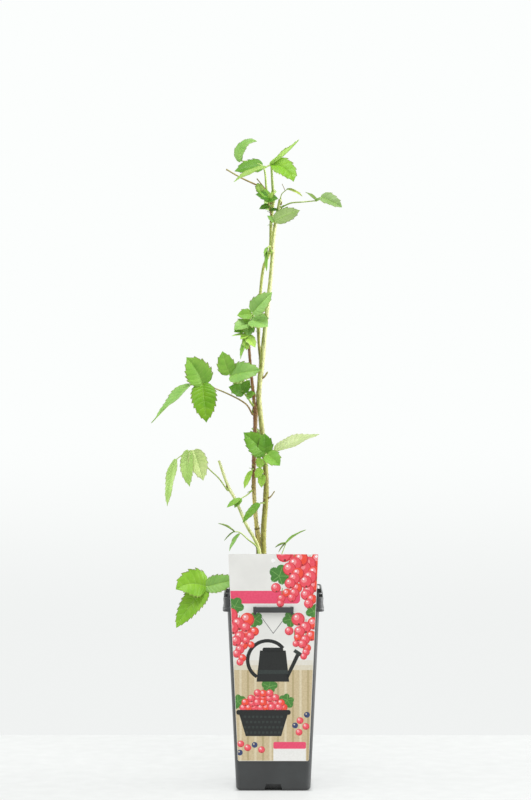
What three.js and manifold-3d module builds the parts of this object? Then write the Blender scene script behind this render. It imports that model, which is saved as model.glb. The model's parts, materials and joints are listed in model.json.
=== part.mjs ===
// Raspberry cane in a tall square nursery pot: the tapering pot with its rim, drain channels and label
// straps, the potting soil in it, a plastic label card hung on the front strap, four slim canes, and the
// shoots of toothed leaflets that the canes carry.
// Millimetres, +Z up. The origin is the middle of the pot's flat underside, and the front faces -Y.

import * as THREE from 'three';
import { mergeVertices } from 'three/addons/utils/BufferGeometryUtils.js';
import Module from 'manifold-3d';

const wasm = await Module();
wasm.setup();

// ---- driving dimensions -------------------------------------------------------------------------

const gap = 0.3;                    // clearance between neighbouring solids
const past = 2;                     // how far a cutting solid runs past what it cuts

const pot = {
  bottomHalf: 37.8,                 // half width of the square foot
  shoulderHalf: 46.5,               // half width of the body under the rim
  shoulderHeight: 183.3,
  rimHalf: 51.2,                    // half width of the rim's ledge
  ledgeHeight: 187.8,               // top of the ledge
  collarHalf: 49.6,                 // half width where the flared collar ends
  collarHeight: 197,
  lipHalf: 48.8,
  height: 202.5,
  wall: 1.4,
  floor: 2,
  corner: 7,                        // corner radius in plan
  footEdge: 3.4,                    // rounding of the bottom edge
  rimEdge: 0.6,                     // bevel of the rim's ledge
  floorFillet: 1.5,
};

const channel = { wide: 19.8, roof: 14.7, tall: 7, deep: 12 };    // drain channel, middle of each side
const drainHole = { wide: 9, deep: 3 };
const cornerSlot = { wide: 4.6, low: 197.7, high: 201.2 };
const strap = { half: 20, low: 182.9, high: 188.4, thick: 1.8, standOff: 1.6, legWide: 2.5, legDrop: 2.1 };

const soilTop = 182;

const card = {
  bottom: 30.3,
  top: 242.5,
  bottomWide: 72.2,
  topWide: 90.7,
  thick: 0.5,
  lean: 4.45,                       // degrees out from upright
  clear: 0.5,                       // from the rim's ledge to the card's back
  tongueHalf: 14,                   // half width of the cut tongue under the strap
  tongueTop: 180.2,
  tongueTip: 161,
  slit: 0.6,
  hangHole: 2,                      // radius
  hangHeight: 236,
  corner: 1.2,
};

// Canes: bends as [x, y, height], thickness at foot and tip. They rise from the crown of the plant.
const soilRise = soilTop + gap;
const canes = {
  main: {
    name: 'cane_main', thick: [5.2, 2.6], colour: 0xa39a45,
    bends: [[-8, -5, soilRise], [-10, -4.5, 239], [-10, -4, 264], [-7.4, -4, 304], [-9.2, -4, 341],
      [-13.6, -4, 385], [-14.6, -3.5, 406], [-11.5, -3, 437], [-9.1, -3, 463], [-4, -3, 509],
      [-1.4, -3, 538], [0.9, -3, 569], [7.1, -4, 602]],
  },
  brown: {
    name: 'cane_brown', thick: [4.8, 2.3], colour: 0x6b4a2a,
    bends: [[-6.5, 4, soilRise], [-11.7, 1.5, 239], [-17, 0, 266], [-19.8, -1, 300], [-20.2, -1, 332],
      [-19, -1, 372], [-20.2, -1.5, 399], [-23, -2, 425], [-26, -2, 463]],
  },
  middle: {
    name: 'cane_middle', thick: [3.2, 2.4], colour: 0x8a7a38,
    bends: [[-14, 10, soilRise], [-16, 8, 239], [-19.5, 7, 300], [-18.7, 6.5, 360], [-15.5, 5, 406],
      [-13.3, 4.5, 435], [-15.2, 4, 462], [-13.4, 3, 505], [-10, 3, 533], [-3.6, 2, 550], [-2.3, 2, 580],
      [0, 2, 601]],
  },
  young: {
    name: 'cane_young', thick: [3.4, 2], colour: 0xa5bb3e,
    bends: [[-13, -11, soilRise], [-14, -9, 239], [-28, -7, 269], [-38.5, -4, 293], [-47, -2, 309],
      [-56, 0, 334]],
  },
};

const caneSides = 8;
const caneStep = 15;                // length of one straight step of a cane
const stalkSides = 4;

const leaflet = {
  thick: 0.6,
  pitch: 6,                         // length of one tooth
  cells: [3, 5],                    // fewest and most teeth along an edge
  blunt: 0.42,                      // the outline swells as u^blunt from the base
  sharp: 0.85,                      // and closes as (1-u)^sharp to the tip
  neck: 0.45,                       // half width where the blade joins its stalk
  notch: 0.88,
  tooth: 1.07,
  toothAt: 0.66,                    // a tooth leans towards the tip
  curl: 22, curlSpread: 12,         // degrees the midrib droops, and how far leaves differ
  fold: 14, foldSpread: 8,          // degrees each half lifts from the midrib
  twistSpread: 10,
  wide: 0.68,                       // width for its length where none is given
  root: 0.5,                        // how far a blade starts inside its stalk
  stalk: 0.8,                       // a leaflet's own stalk against the leaf's, and how far it thins
};

const compound = { spread: 66, spreadVary: 9, side: 0.84, stem: 0.24 };

// Shoots. Each leaves its cane at a height and runs through the `via` points, [x, y, height]. Further
// stalks branch from the first at the share `from` of its length. A leaflet's heading is its direction in
// the front view, in degrees from +X round to up, `toward` tips it to the front, and `face` is where its
// upper side looks: right, front, up. `leaf` grows a leaf of three from the shoot's seed.
const shoots = [
  {
    name: 'leaves_crown_right', cane: 'middle', tip: true, seed: 11, colour: 0x86c23c,
    stalks: [{
      via: [[-1, -5, 619], [-2, -10, 637]], thick: [2.4, 1.6],
      leaflets: [
        { heading: 319, toward: 16, long: 30, wide: 19, face: [0.2, 1, 0.7], sweep: -60, curl: 20 },
        { heading: 44, toward: -9, long: 40, wide: 18, face: [-0.72, 0.2, 0.7], fold: 38, curl: -14 },
        { heading: 208, toward: 14, long: 33, wide: 18, stem: 11, face: [-0.1, 0.8, 1], curl: 26 },
      ],
    }],
  },
  {
    name: 'leaves_crown_left', cane: 'middle', height: 595, seed: 12, colour: 0x78b544,
    stalks: [{
      via: [[-7, 5, 612], [-10, 8, 635], [-22, 13, 641], [-33.5, 14, 643]], thick: [2.3, 1],
      leaflets: [
        { heading: 62, toward: -4, long: 38, wide: 15, face: [-0.75, 0.6, 0.1], curl: 150, fold: 4 },
        { on: 0.66, heading: 190, toward: 4, long: 25, wide: 19, face: [0, 0.9, 1], fold: 8 },
      ],
    }, {
      from: 0.3, via: [[-17, 1, 617], [-33, -5, 624], [-48, -13, 632]], thick: [1.2, 0.9],
    }, {
      from: 0.28, via: [[-17, 6, 624]], thick: [1.1, 0.9],
    }],
  },
  {
    name: 'leaves_under_crown', cane: 'middle', height: 588, seed: 13, colour: 0x4f9a34,
    stalks: [{
      via: [[-5, -6, 597], [-4.5, -9, 603]], thick: [1.6, 1.2],
      leaflets: [
        { heading: 172, toward: 24, long: 16, wide: 11, face: [-0.2, 1, 0.6] },
        { heading: 140, toward: 0, long: 15, wide: 9, face: [0, 1, 0.6] },
        { on: 0.9, heading: 8, toward: 50, long: 11, wide: 9, face: [0.2, 1, 0.5] },
        { on: 0.4, heading: 190, toward: 56, long: 10, wide: 7, face: [0, 1, 0.6] },
      ],
    }],
  },
  {
    name: 'leaf_top_right', cane: 'main', height: 594, seed: 14, colour: 0x8abf6c,
    stalks: [{
      via: [[18, -8, 598], [32, -12, 599], [44, -14, 600]], thick: [1.5, 1.1],
      leaflets: [
        { heading: 138, toward: -14, long: 16, wide: 7, face: [0.5, 0.5, 0.8] },
        { heading: 30, toward: 40, long: 10, wide: 6, face: [0, 0.8, 0.6] },
        { heading: 348, toward: 14, long: 22, wide: 18, stem: 6, face: [0.2, 1, 0.35], sweep: -24, curl: 12 },
      ],
    }],
  },
  {
    name: 'leaf_top_spray', cane: 'main', tip: true, seed: 15, colour: 0xa6bf62,
    stalks: [{
      via: [[9, -5, 608], [14, -8, 612]], thick: [1.6, 0.9],
      leaflets: [{ heading: 338, toward: 13, long: 18, wide: 9, face: [0.2, 0.4, 1] }],
    }, { from: 0.8, via: [[9, -9, 617.5]], thick: [0.9, 0.8] }],
  },
  {
    name: 'leaf_top_under', cane: 'middle', height: 576, seed: 16, colour: 0x9cc474,
    stalks: [{
      via: [[-3.5, -5, 577.5], [-1, -7.5, 579]], thick: [1.5, 1.2],
      leaflets: [
        { heading: 24, toward: 22, long: 33, wide: 18, face: [-0.2, -1, 0.5], sweep: 18, curl: 12, fold: 8 },
        { heading: 138, toward: 12, long: 10, wide: 6, face: [0, 1, 0.6] },
      ],
    }],
  },
  {
    name: 'leaf_upper_curl', cane: 'main', height: 549, seed: 17, colour: 0x93c95a,
    stalks: [{
      via: [[-5, -8, 554], [-8, -9.5, 552]], thick: [2, 1.6],
      leaflets: [
        { heading: 248, toward: 8, long: 9, wide: 6, face: [-0.8, 0.6, 0.3] },
        { heading: 268, toward: 6, long: 25, wide: 9, face: [-0.8, 0.5, 0.3], curl: -20, fold: 34 },
      ],
    }],
  },
  {
    name: 'leaves_middle', cane: 'brown', tip: true, seed: 18, colour: 0x6fae4a,
    stalks: [{
      via: [[-25, -5, 473], [-23, -8, 484]], thick: [2, 1.3],
      leaflets: [
        { heading: 47, toward: 14, long: 27, wide: 17, stem: 4, face: [0, 1, 0.35], curl: 24 },
        { heading: 234, toward: 30, long: 15, wide: 11, face: [-0.3, 1, 0.4] },
        { on: 0.5, heading: 40, toward: 22, long: 20, wide: 15, stem: 4, stemHeading: 12,
          face: [0.2, 1, 0.5] },
        { on: 0.46, heading: 196, toward: 28, long: 17, wide: 13, face: [0.1, 1, 0.6] },
        { on: 0.62, heading: 222, toward: 12, long: 17, wide: 11, face: [-0.2, 1, 0.5] },
      ],
    }],
  },
  {
    name: 'leaves_middle_young', cane: 'brown', height: 450, seed: 19, colour: 0xb7da55,
    stalks: [{
      via: [[-27, -7, 455], [-27, -11, 463]], thick: [1.8, 1.3],
      leaflets: [
        { heading: 184, toward: 14, long: 17, wide: 7, face: [-0.2, 0.6, 1] },
        { heading: 214, toward: 36, long: 11, wide: 7, face: [-0.2, 1, 0.6] },
        { heading: 268, toward: 16, long: 15, wide: 9, face: [0, 1, 0.2], stem: 1 },
        { on: 0.92, heading: 314, toward: 26, long: 12, wide: 8, face: [0.3, 1, 0.4] },
        { on: 0.4, heading: 251, toward: 14, long: 29, wide: 9, face: [-0.75, 0.65, 0.2], stem: 3, fold: 26 },
      ],
    }],
  },
  {
    name: 'leaves_left_pair', cane: 'brown', height: 391, seed: 20, colour: 0x76b54a,
    stalks: [{
      via: [[-25, -10, 397], [-30, -14, 405], [-36, -16, 415], [-42, -18, 424]], thick: [2.2, 1.1],
      leaflets: [
        { heading: 105, toward: 6, long: 20, wide: 15, face: [-0.1, 1, 0.3] },
        { heading: 186, toward: 14, long: 17, wide: 16, face: [-0.1, 1, 0.35] },
        { on: 0.97, heading: 12, toward: 20, long: 34, wide: 19, face: [0.05, 1, 0.5], curl: 26 },
        { on: 0.46, heading: 176, toward: 22, long: 15, wide: 13, face: [-0.1, 1, 0.3] },
        { on: 0.4, heading: 56, toward: 12, long: 15, wide: 10, face: [0, 1, 0.4] },
        { on: 0.16, heading: 40, toward: 40, long: 9, wide: 8, face: [0, 1, 0.4] },
      ],
    }],
  },
  {
    name: 'leaf_long_left', cane: 'brown', height: 382, seed: 21, colour: 0x78b92f,
    stalks: [{
      via: [[-29, -8, 393], [-49, -16, 404], [-72, -26, 413]], thick: [1.9, 1.3],
      leaflets: [
        { heading: 121, toward: 7, long: 32, wide: 28, face: [0.1, 1, 0.25] },
        { heading: 276, toward: 12, long: 39, wide: 27, face: [0, 1, 0.2], curl: 26 },
        { heading: 223, toward: 13, long: 56, wide: 24, stem: 14, stemHeading: 188,
          face: [-0.62, 0.3, 0.75], curl: 34, twist: -24, fold: 20 },
      ],
    }],
  },
  {
    name: 'leaves_centre', cane: 'main', height: 331, seed: 22, colour: 0x66ab3c,
    stalks: [{
      via: [[-7, -11, 338], [-6.8, -14, 344]], thick: [1.8, 1.3],
      leaflets: [
        { heading: 137, toward: 13, long: 31, wide: 23, face: [0, 1, 0.35] },
        { heading: 76, toward: -2, long: 20, wide: 14, face: [0.2, 1, 0.2] },
        { heading: 296, toward: 26, long: 18, wide: 18, face: [0.1, 1, 0.4] },
      ],
    }],
  },
  {
    name: 'leaves_centre_young', cane: 'main', height: 318, seed: 23, colour: 0xa6d765,
    stalks: [{
      via: [[-12, -9, 322], [-12.5, -8.5, 328]], thick: [1.3, 1.1],
      leaflets: [
        { heading: 112, toward: -4, long: 11, wide: 7, face: [0, 1, 0.3] },
        { on: 0.8, heading: 228, toward: 10, long: 10, wide: 7, face: [0, 1, 0.4] },
        { on: 0.4, heading: 268, toward: 4, long: 14, wide: 8, face: [0, 1, 0.2], stem: 1 },
      ],
    }],
  },
  {
    name: 'leaf_right_pale', cane: 'main', height: 337, seed: 24, colour: 0xc6e29a,
    stalks: [{
      via: [[-3, 5, 341], [3, 9, 344]], thick: [1.5, 1.2],
      leaflets: [{ heading: 20, toward: -14, long: 50, wide: 22, face: [0.1, 0.42, 0.9], curl: 16 }],
    }],
  },
  {
    name: 'leaves_left_pale', cane: 'young', height: 304, seed: 25, colour: 0xaedb62,
    stalks: [{
      via: [[-56, -5, 316], [-68, -8, 328], [-76, -10, 343], [-86, -12, 343.5], [-95, -13, 339],
        [-100, -14, 335]],
      thick: [1.5, 0.9],
      leaflets: [
        { on: 0.63, heading: 278, toward: 10, long: 31, wide: 20, face: [0.3, 1, 0.1], curl: 14 },
        { on: 0.8, heading: 270, toward: 8, long: 37, wide: 14, face: [-0.2, 1, 0.1], sweep: 14 },
        { heading: 260, toward: 6, long: 46, wide: 13, face: [-0.6, 0.8, 0.1], curl: 20 },
      ],
    }],
  },
  {
    name: 'leaves_small_left', cane: 'brown', height: 303, seed: 26, colour: 0x8cc455,
    stalks: [{
      via: [[-27, -7, 299], [-35, -10, 294.5]], thick: [1.7, 1.1],
      leaflets: [
        { heading: 213, toward: 4, long: 16, wide: 8, face: [-0.2, 0.7, 0.8] },
        { on: 0.9, heading: 236, toward: 10, long: 12, wide: 8, face: [-0.2, 0.7, 0.6] },
      ],
    }],
  },
  {
    name: 'leaf_narrow_left', cane: 'brown', height: 325, seed: 27, colour: 0xb4cf4e,
    stalks: [{
      via: [[-22.5, -7, 323]], thick: [1.5, 1.2],
      leaflets: [{ heading: 247, toward: 6, long: 20, wide: 9, face: [-0.5, 0.9, 0.2] }],
    }],
  },
  {
    name: 'leaf_low_middle', cane: 'main', height: 291, seed: 28, colour: 0x62b04c,
    stalks: [{
      via: [[-10.5, -9, 291], [-15, -11.5, 290]], thick: [1.3, 1],
      leaflets: [{ heading: 229, toward: 14, long: 28, wide: 12, face: [-0.35, 1, 0.3] }],
    }],
  },
  {
    name: 'leaves_low_left', cane: 'young', height: 233, seed: 29, colour: 0x7b9a4e,
    stalks: [{
      via: [[-17, -14.5, 246], [-26, -15, 254], [-34, -16, 261], [-40, -17, 262]], thick: [2, 1],
      leaflets: [
        { heading: 152, toward: 12, long: 20, wide: 8, face: [0.3, 0.2, 1], fold: 30 },
        { heading: 222, toward: 17, long: 15, wide: 6, face: [-0.7, 0.1, 0.7], fold: 30 },
        { on: 0.86, heading: 240, toward: 6, long: 21, wide: 9, face: [-0.8, 0.5, 0.3], stem: 2 },
      ],
    }],
  },
  {
    name: 'leaves_low_right', cane: 'main', height: 205, seed: 30, colour: 0x7b9a4e,
    stalks: [{
      via: [[-1, -4, 210], [5, -2, 228], [13, 0, 249]], thick: [1.8, 1],
      leaflets: [
        { heading: 33, toward: -9, long: 26, wide: 9, face: [-0.35, 0.2, 1], fold: 30 },
        { heading: 200, toward: 23, long: 14, wide: 8, face: [-0.2, 0.3, 1], fold: 30 },
        { heading: 230, toward: 12, long: 13, wide: 6, face: [-0.7, 0.2, 0.6], fold: 30 },
      ],
    }],
  },
  {
    name: 'leaves_pot_side', cane: 'young', height: 193, seed: 31, colour: 0x83be36,
    stalks: [{
      via: [[-22, -20, 199], [-42, -33, 206.5], [-57, -37, 209], [-68.6, -38, 207.4]], thick: [2, 1.3],
      leaflets: [
        { heading: 168, toward: 20, long: 31, wide: 28, face: [0, 1, 0.35], sweep: 16 },
        { heading: 236, toward: 14, long: 51, wide: 26, face: [-0.2, 1, 0.35], curl: 24 },
        { heading: 15, toward: 7, long: 36, wide: 17, face: [0.1, 1, 0.35], curl: 8 },
      ],
    }],
  },
  {
    name: 'leaves_back_crown', cane: 'middle', height: 592, seed: 41, colour: 0x5fa53a,
    stalks: [{
      via: [[-2, 16, 604], [-3, 34, 608]], thick: [1.7, 1.2],
      leaf: { long: 19, heading: 265, toward: -50, face: [-0.9, -0.3, 0.4] },
    }],
  },
  {
    name: 'leaves_back_middle', cane: 'middle', height: 465, seed: 42, colour: 0x6fae3e,
    stalks: [{
      via: [[-18, 18, 476], [-21, 40, 484]], thick: [1.9, 1.3],
      leaf: { long: 30, heading: 262, toward: -52, face: [-0.95, -0.25, 0.3] },
    }],
  },
  {
    name: 'leaves_back_left', cane: 'middle', height: 400, seed: 43, colour: 0x69a93a,
    stalks: [{
      via: [[-22, 16, 407], [-33, 34, 416], [-38, 47, 418]], thick: [1.9, 1.3],
      leaf: { long: 29, heading: 250, toward: -50, face: [-0.85, -0.45, 0.4] },
    }],
  },
  {
    name: 'leaves_back_centre', cane: 'middle', height: 342, seed: 44, colour: 0x6cb040,
    stalks: [{
      via: [[-17, 18, 350], [-14, 42, 354]], thick: [1.9, 1.3],
      leaf: { long: 28, heading: 275, toward: -56, face: [0.9, -0.3, 0.35] },
    }],
  },
  {
    name: 'leaves_back_low', cane: 'middle', height: 200, seed: 45, colour: 0x74b43a,
    stalks: [{
      via: [[-20, 24, 208], [-22, 44, 214], [-22, 60, 214]], thick: [2.2, 1.4],
      leaf: { long: 34, heading: 258, toward: -30, face: [-0.15, -1, 0.3] },
    }],
  },
  {
    name: 'leaves_back_right', cane: 'main', height: 199, seed: 46, colour: 0x74b43a,
    stalks: [{
      via: [[2, 6, 205], [12, 26, 212], [19, 46, 217]], thick: [2, 1.3],
      leaf: { long: 30, heading: 300, toward: -42, face: [0.1, -1, 0.6] },
    }],
  },
];

// ---- small helpers ------------------------------------------------------------------------------

const radians = THREE.MathUtils.degToRad;

// A dealer of even random numbers from 0 to 1 (Park and Miller's rule), the same on every run.
function dealerOf(seed) {
  let state = seed * 7919 + 17;
  return () => {
    state = (state * 16807) % 2147483647;
    return state / 2147483647;
  };
}

function geometryFrom(points, triangles) {
  const geometry = new THREE.BufferGeometry().setFromPoints(points);
  geometry.setIndex(triangles.flat());
  return geometry;
}

function solidFrom(geometry) {
  const bare = geometry.clone();
  bare.deleteAttribute('normal');
  bare.deleteAttribute('uv');
  const merged = mergeVertices(bare, 1e-4);
  return new wasm.Manifold(new wasm.Mesh({
    numProp: 3,
    vertProperties: Float32Array.from(merged.attributes.position.array),
    triVerts: Uint32Array.from(merged.index.array),
  }));
}

function geometryOf(solid) {
  const mesh = solid.getMesh();
  const geometry = new THREE.BufferGeometry();
  geometry.setAttribute('position', new THREE.BufferAttribute(mesh.vertProperties, 3));
  geometry.setIndex(new THREE.BufferAttribute(mesh.triVerts, 1));
  geometry.computeVertexNormals();
  return geometry;
}

const joined = (solids) => solids.reduce((whole, solid) => whole.add(solid));

// The largest shell of a solid, so that a pocket closed in between crossing stalks is filled.
const outerShell = (solid) => solid.decompose().sort((a, b) => b.volume() - a.volume())[0];

function box(x0, x1, y0, y1, z0, z1) {
  const geometry = new THREE.BoxGeometry(x1 - x0, y1 - y0, z1 - z0);
  geometry.translate((x0 + x1) / 2, (y0 + y1) / 2, (z0 + z1) / 2);
  return geometry;
}

// ---- pot and soil -------------------------------------------------------------------------------

// A square ring with round corners, as points in plan.
function roundedSquare(half, radius, arcSteps = 4) {
  const points = [];
  for (let quarter = 0; quarter < 4; quarter += 1) {
    const centre = new THREE.Vector2(half - radius, half - radius);
    for (let step = 0; step <= arcSteps; step += 1) {
      const angle = (Math.PI / 2) * (step / arcSteps);
      const point = new THREE.Vector2(Math.cos(angle), Math.sin(angle)).multiplyScalar(radius).add(centre);
      points.push(point.rotateAround(new THREE.Vector2(), (Math.PI / 2) * quarter));
    }
  }
  return points;
}

// A closed body whose plan is a rounded square of its own size at each level [height, half, radius].
function tower(levels) {
  const rings = levels.map(([height, half, radius]) => roundedSquare(half, radius)
    .map((point) => new THREE.Vector3(point.x, point.y, height)));
  const count = rings[0].length;
  const points = rings.flat();
  const foot = points.push(new THREE.Vector3(0, 0, levels[0][0])) - 1;
  const head = points.push(new THREE.Vector3(0, 0, levels.at(-1)[0])) - 1;
  const top = (rings.length - 1) * count;
  const triangles = [];
  for (let i = 0; i < count; i += 1) {
    const next = (i + 1) % count;
    for (let low = 0; low < top; low += count) {
      triangles.push([low + i, low + next, low + count + next]);
      triangles.push([low + i, low + count + next, low + count + i]);
    }
    triangles.push([foot, next, i]);
    triangles.push([head, top + i, top + next]);
  }
  return geometryFrom(points, triangles);
}

const bodySlope = (pot.shoulderHalf - pot.bottomHalf) / pot.shoulderHeight;
const bodyHalf = (height) => pot.bottomHalf + bodySlope * height;

// A drain channel's prism, from outside the front face inwards, grown by `grow` on its roof, sides and end.
function channelSolid(grow, turn) {
  const half = channel.wide / 2 + grow;
  const roof = channel.roof / 2 + grow;
  const outline = new THREE.Shape([
    new THREE.Vector2(-half, -past),
    new THREE.Vector2(half, -past),
    new THREE.Vector2(roof, channel.tall + grow),
    new THREE.Vector2(-roof, channel.tall + grow),
  ]);
  const reach = channel.deep + grow + past;
  const geometry = new THREE.ExtrudeGeometry(outline, { depth: reach, bevelEnabled: false });
  geometry.rotateX(Math.PI / 2);
  geometry.translate(0, -pot.bottomHalf + channel.deep + grow, 0);
  geometry.rotateZ((Math.PI / 2) * turn);
  return solidFrom(geometry);
}

function potCavity(clear) {
  const inside = (height) => bodyHalf(height) - pot.wall - clear;
  const rimInside = pot.lipHalf - pot.wall - clear;
  const radius = pot.corner - pot.wall;
  const fillet = pot.floorFillet;
  const foot = pot.floor + clear;
  return tower([
    [foot, inside(foot) - fillet, radius - fillet],
    [foot + fillet, inside(foot), radius],
    [pot.shoulderHeight, inside(pot.shoulderHeight), radius],
    [pot.ledgeHeight, rimInside, radius],
    [pot.height + past, rimInside, radius],
  ]);
}

function potOutside() {
  const { bottomHalf, corner, footEdge, rimEdge, rimHalf, shoulderHeight, ledgeHeight } = pot;
  return tower([
    [0, bottomHalf - footEdge, corner - 0.65 * footEdge],
    [0.3 * footEdge, bottomHalf - 0.4 * footEdge, corner - 0.4 * footEdge],
    [footEdge, bodyHalf(footEdge), corner],
    [shoulderHeight, pot.shoulderHalf, corner],
    [shoulderHeight, rimHalf - rimEdge, corner],
    [shoulderHeight + rimEdge, rimHalf, corner],
    [ledgeHeight - rimEdge, rimHalf, corner],
    [ledgeHeight, rimHalf - rimEdge, corner],
    [pot.collarHeight, pot.collarHalf, corner],
    [pot.collarHeight + rimEdge / 2, pot.lipHalf + rimEdge / 3, corner],
    [pot.height, pot.lipHalf, corner],
  ]);
}

// A strap stands off the rim's front, or its back where `side` is 1: a bar with a post to the rim and a
// hanging leg at each end.
function strapSolid(side) {
  const face = pot.rimHalf + strap.standOff;
  const front = face + strap.thick;
  const bar = box(-strap.half, strap.half, -front, -face, strap.low, strap.high);
  const legs = [-1, 1].flatMap((hand) => {
    const ends = [strap.half - strap.legWide, strap.half].map((x) => hand * x).sort((a, b) => a - b);
    const post = box(...ends, -face, pot.rimEdge - pot.rimHalf, strap.low + 1, pot.ledgeHeight - pot.rimEdge);
    const leg = box(...ends, -front, -face - gap, strap.low - strap.legDrop, strap.low + 1);
    return [post, leg];
  });
  return joined([bar, ...legs].map((piece) => solidFrom(piece.rotateZ(side * Math.PI))));
}

function drainHoleSolid(turn) {
  const end = -pot.bottomHalf + channel.deep;
  const hole = box(-drainHole.wide / 2, drainHole.wide / 2, end - drainHole.deep, end,
    channel.tall - past, channel.tall + pot.wall + past);
  return solidFrom(hole.rotateZ((Math.PI / 2) * turn));
}

function cornerSlotSolid(turn) {
  const outer = pot.rimHalf * Math.SQRT2;
  const slot = box(-cornerSlot.wide / 2, cornerSlot.wide / 2, -outer, -pot.rimHalf - past,
    cornerSlot.low, cornerSlot.high);
  return solidFrom(slot.rotateZ((Math.PI / 2) * (turn + 0.5)));
}

const onEverySide = (make) => joined([0, 1, 2, 3].map(make));

function makePot() {
  const hollow = solidFrom(potCavity(0)).subtract(onEverySide((turn) => channelSolid(pot.wall, turn)));
  const shell = solidFrom(potOutside())
    .subtract(hollow)
    .subtract(onEverySide((turn) => channelSolid(0, turn)))
    .subtract(onEverySide(drainHoleSolid))
    .subtract(onEverySide(cornerSlotSolid));
  return geometryOf(shell.add(strapSolid(0)).add(strapSolid(1)));
}

function makeSoil() {
  const out = pot.rimHalf;
  const above = solidFrom(box(-out, out, -out, out, soilTop, pot.height + 2 * past));
  const humps = onEverySide((turn) => channelSolid(pot.wall + gap, turn));
  return geometryOf(solidFrom(potCavity(gap)).subtract(above).subtract(humps));
}

// ---- label card ---------------------------------------------------------------------------------

function slab(corners, depth) {
  const outline = new THREE.Shape(corners.map(([x, y]) => new THREE.Vector2(x, y)));
  const geometry = new THREE.ExtrudeGeometry(outline, { depth, bevelEnabled: false });
  geometry.translate(0, 0, -depth / 2);
  return solidFrom(geometry);
}

// The card is drawn flat, with its heights as on the pot, and then leans about the rim's ledge.
function makeCard() {
  const { corner } = card;
  const low = card.bottomWide / 2;
  const high = card.topWide / 2;
  const plate = slab([
    [-low + corner, card.bottom], [low - corner, card.bottom],
    [low, card.bottom + corner], [high, card.top - corner],
    [high - corner, card.top], [-high + corner, card.top],
    [-high, card.top - corner], [-low, card.bottom + corner],
  ], card.thick);

  const legLow = strap.low - strap.legDrop - gap;
  const legHigh = strap.high + gap;
  const legOut = strap.half + gap;
  const legIn = strap.half - strap.legWide - gap;
  const legHoles = [-1, 1].map((hand) => {
    const [x0, x1] = hand < 0 ? [-legOut, -legIn] : [legIn, legOut];
    return slab([[x0, legLow], [x1, legLow], [x1, legHigh], [x0, legHigh]], past);
  });
  const half = card.tongueHalf;
  const tongue = slab([
    [-half, card.tongueTop], [0, card.tongueTip], [half, card.tongueTop],
    [half - card.slit, card.tongueTop], [0, card.tongueTip + card.slit * 1.7],
    [-half + card.slit, card.tongueTop],
  ], past);
  const punch = new THREE.CylinderGeometry(card.hangHole, card.hangHole, past, 16);
  punch.rotateX(Math.PI / 2);
  punch.translate(0, card.hangHeight, 0);

  const pivot = (pot.shoulderHeight + pot.ledgeHeight) / 2;
  const geometry = geometryOf(plate.subtract(joined([...legHoles, tongue, solidFrom(punch)])));
  geometry.translate(0, -pivot, 0);
  geometry.rotateX(Math.PI / 2 + radians(card.lean));
  geometry.translate(0, -pot.rimHalf - card.clear - card.thick / 2, pivot);
  return geometry;
}

// ---- limbs --------------------------------------------------------------------------------------

const curveThrough = (points) => new THREE.CatmullRomCurve3(points, false, 'catmullrom', 0.5);

// A tapering limb with flat ends, along a smooth curve through the points.
function limb(points, thick, sides, steps) {
  const curve = curveThrough(points);
  const frames = curve.computeFrenetFrames(steps, false);
  const geometry = new THREE.CylinderGeometry(1, 1, 1, sides, steps);
  const place = geometry.attributes.position;
  const point = new THREE.Vector3();
  for (let i = 0; i < place.count; i += 1) {
    point.fromBufferAttribute(place, i);
    const share = point.y + 0.5;
    const step = Math.round(share * steps);
    const radius = THREE.MathUtils.lerp(thick[0], thick[1], share) / 2;
    const centre = curve.getPointAt(step / steps);
    centre.addScaledVector(frames.normals[step], point.x * radius);
    centre.addScaledVector(frames.binormals[step], -point.z * radius);
    place.setXYZ(i, centre.x, centre.y, centre.z);
  }
  return { curve, thick, geometry };
}

// A cane's foot is cut level where it enters the soil.
function makeCane({ bends, thick }) {
  const points = bends.map((bend) => new THREE.Vector3(...bend));
  const steps = Math.round(curveThrough(points).getLength() / caneStep);
  const made = limb(points, thick, caneSides, steps);
  const place = made.geometry.attributes.position;
  for (let i = 0; i < place.count; i += 1) {
    if (place.getZ(i) < soilRise + 1) place.setZ(i, soilRise);
  }
  return { ...made, solid: solidFrom(made.geometry) };
}

const grownCanes = Object.fromEntries(Object.entries(canes).map(([key, cane]) => [key, makeCane(cane)]));

function caneAt({ curve, thick }, height) {
  let low = 0;
  let high = 1;
  while (high - low > 1e-5) {
    const middle = (low + high) / 2;
    if (curve.getPointAt(middle).z < height) low = middle;
    else high = middle;
  }
  return { centre: curve.getPointAt(low), radius: THREE.MathUtils.lerp(thick[0], thick[1], low) / 2 };
}

// ---- leaflets -----------------------------------------------------------------------------------

const widestAt = leaflet.blunt / (leaflet.blunt + leaflet.sharp);
const swell = (u) => (u ** leaflet.blunt) * ((1 - u) ** leaflet.sharp);
const outlineAt = (u) => swell(u) / swell(widestAt);

function directionOf(heading, toward) {
  const flat = Math.cos(radians(toward));
  return new THREE.Vector3(
    flat * Math.cos(radians(heading)), -Math.sin(radians(toward)), flat * Math.sin(radians(heading)),
  );
}

// The upper side of a blade that runs forward and faces right, front and up by the three shares.
function upperSide([right, front, up], forward) {
  const upper = new THREE.Vector3(right, -front, up);
  return upper.addScaledVector(forward, -upper.dot(forward)).normalize();
}

// The blade's frame at share u of its length: forward, its upper side, and its right-hand side.
function frameAt({ forward, upper, curl, sweep, twist }, u) {
  const right = forward.clone().cross(upper);
  const ahead = forward.clone().applyAxisAngle(right, -radians(curl) * (u - 0.5));
  const up = upper.clone().applyAxisAngle(right, -radians(curl) * (u - 0.5));
  ahead.applyAxisAngle(upper, radians(sweep) * (u - 0.5));
  up.applyAxisAngle(ahead, radians(twist) * u);
  up.addScaledVector(ahead, -up.dot(ahead)).normalize();
  return { ahead, up, right: ahead.clone().cross(up) };
}

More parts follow.
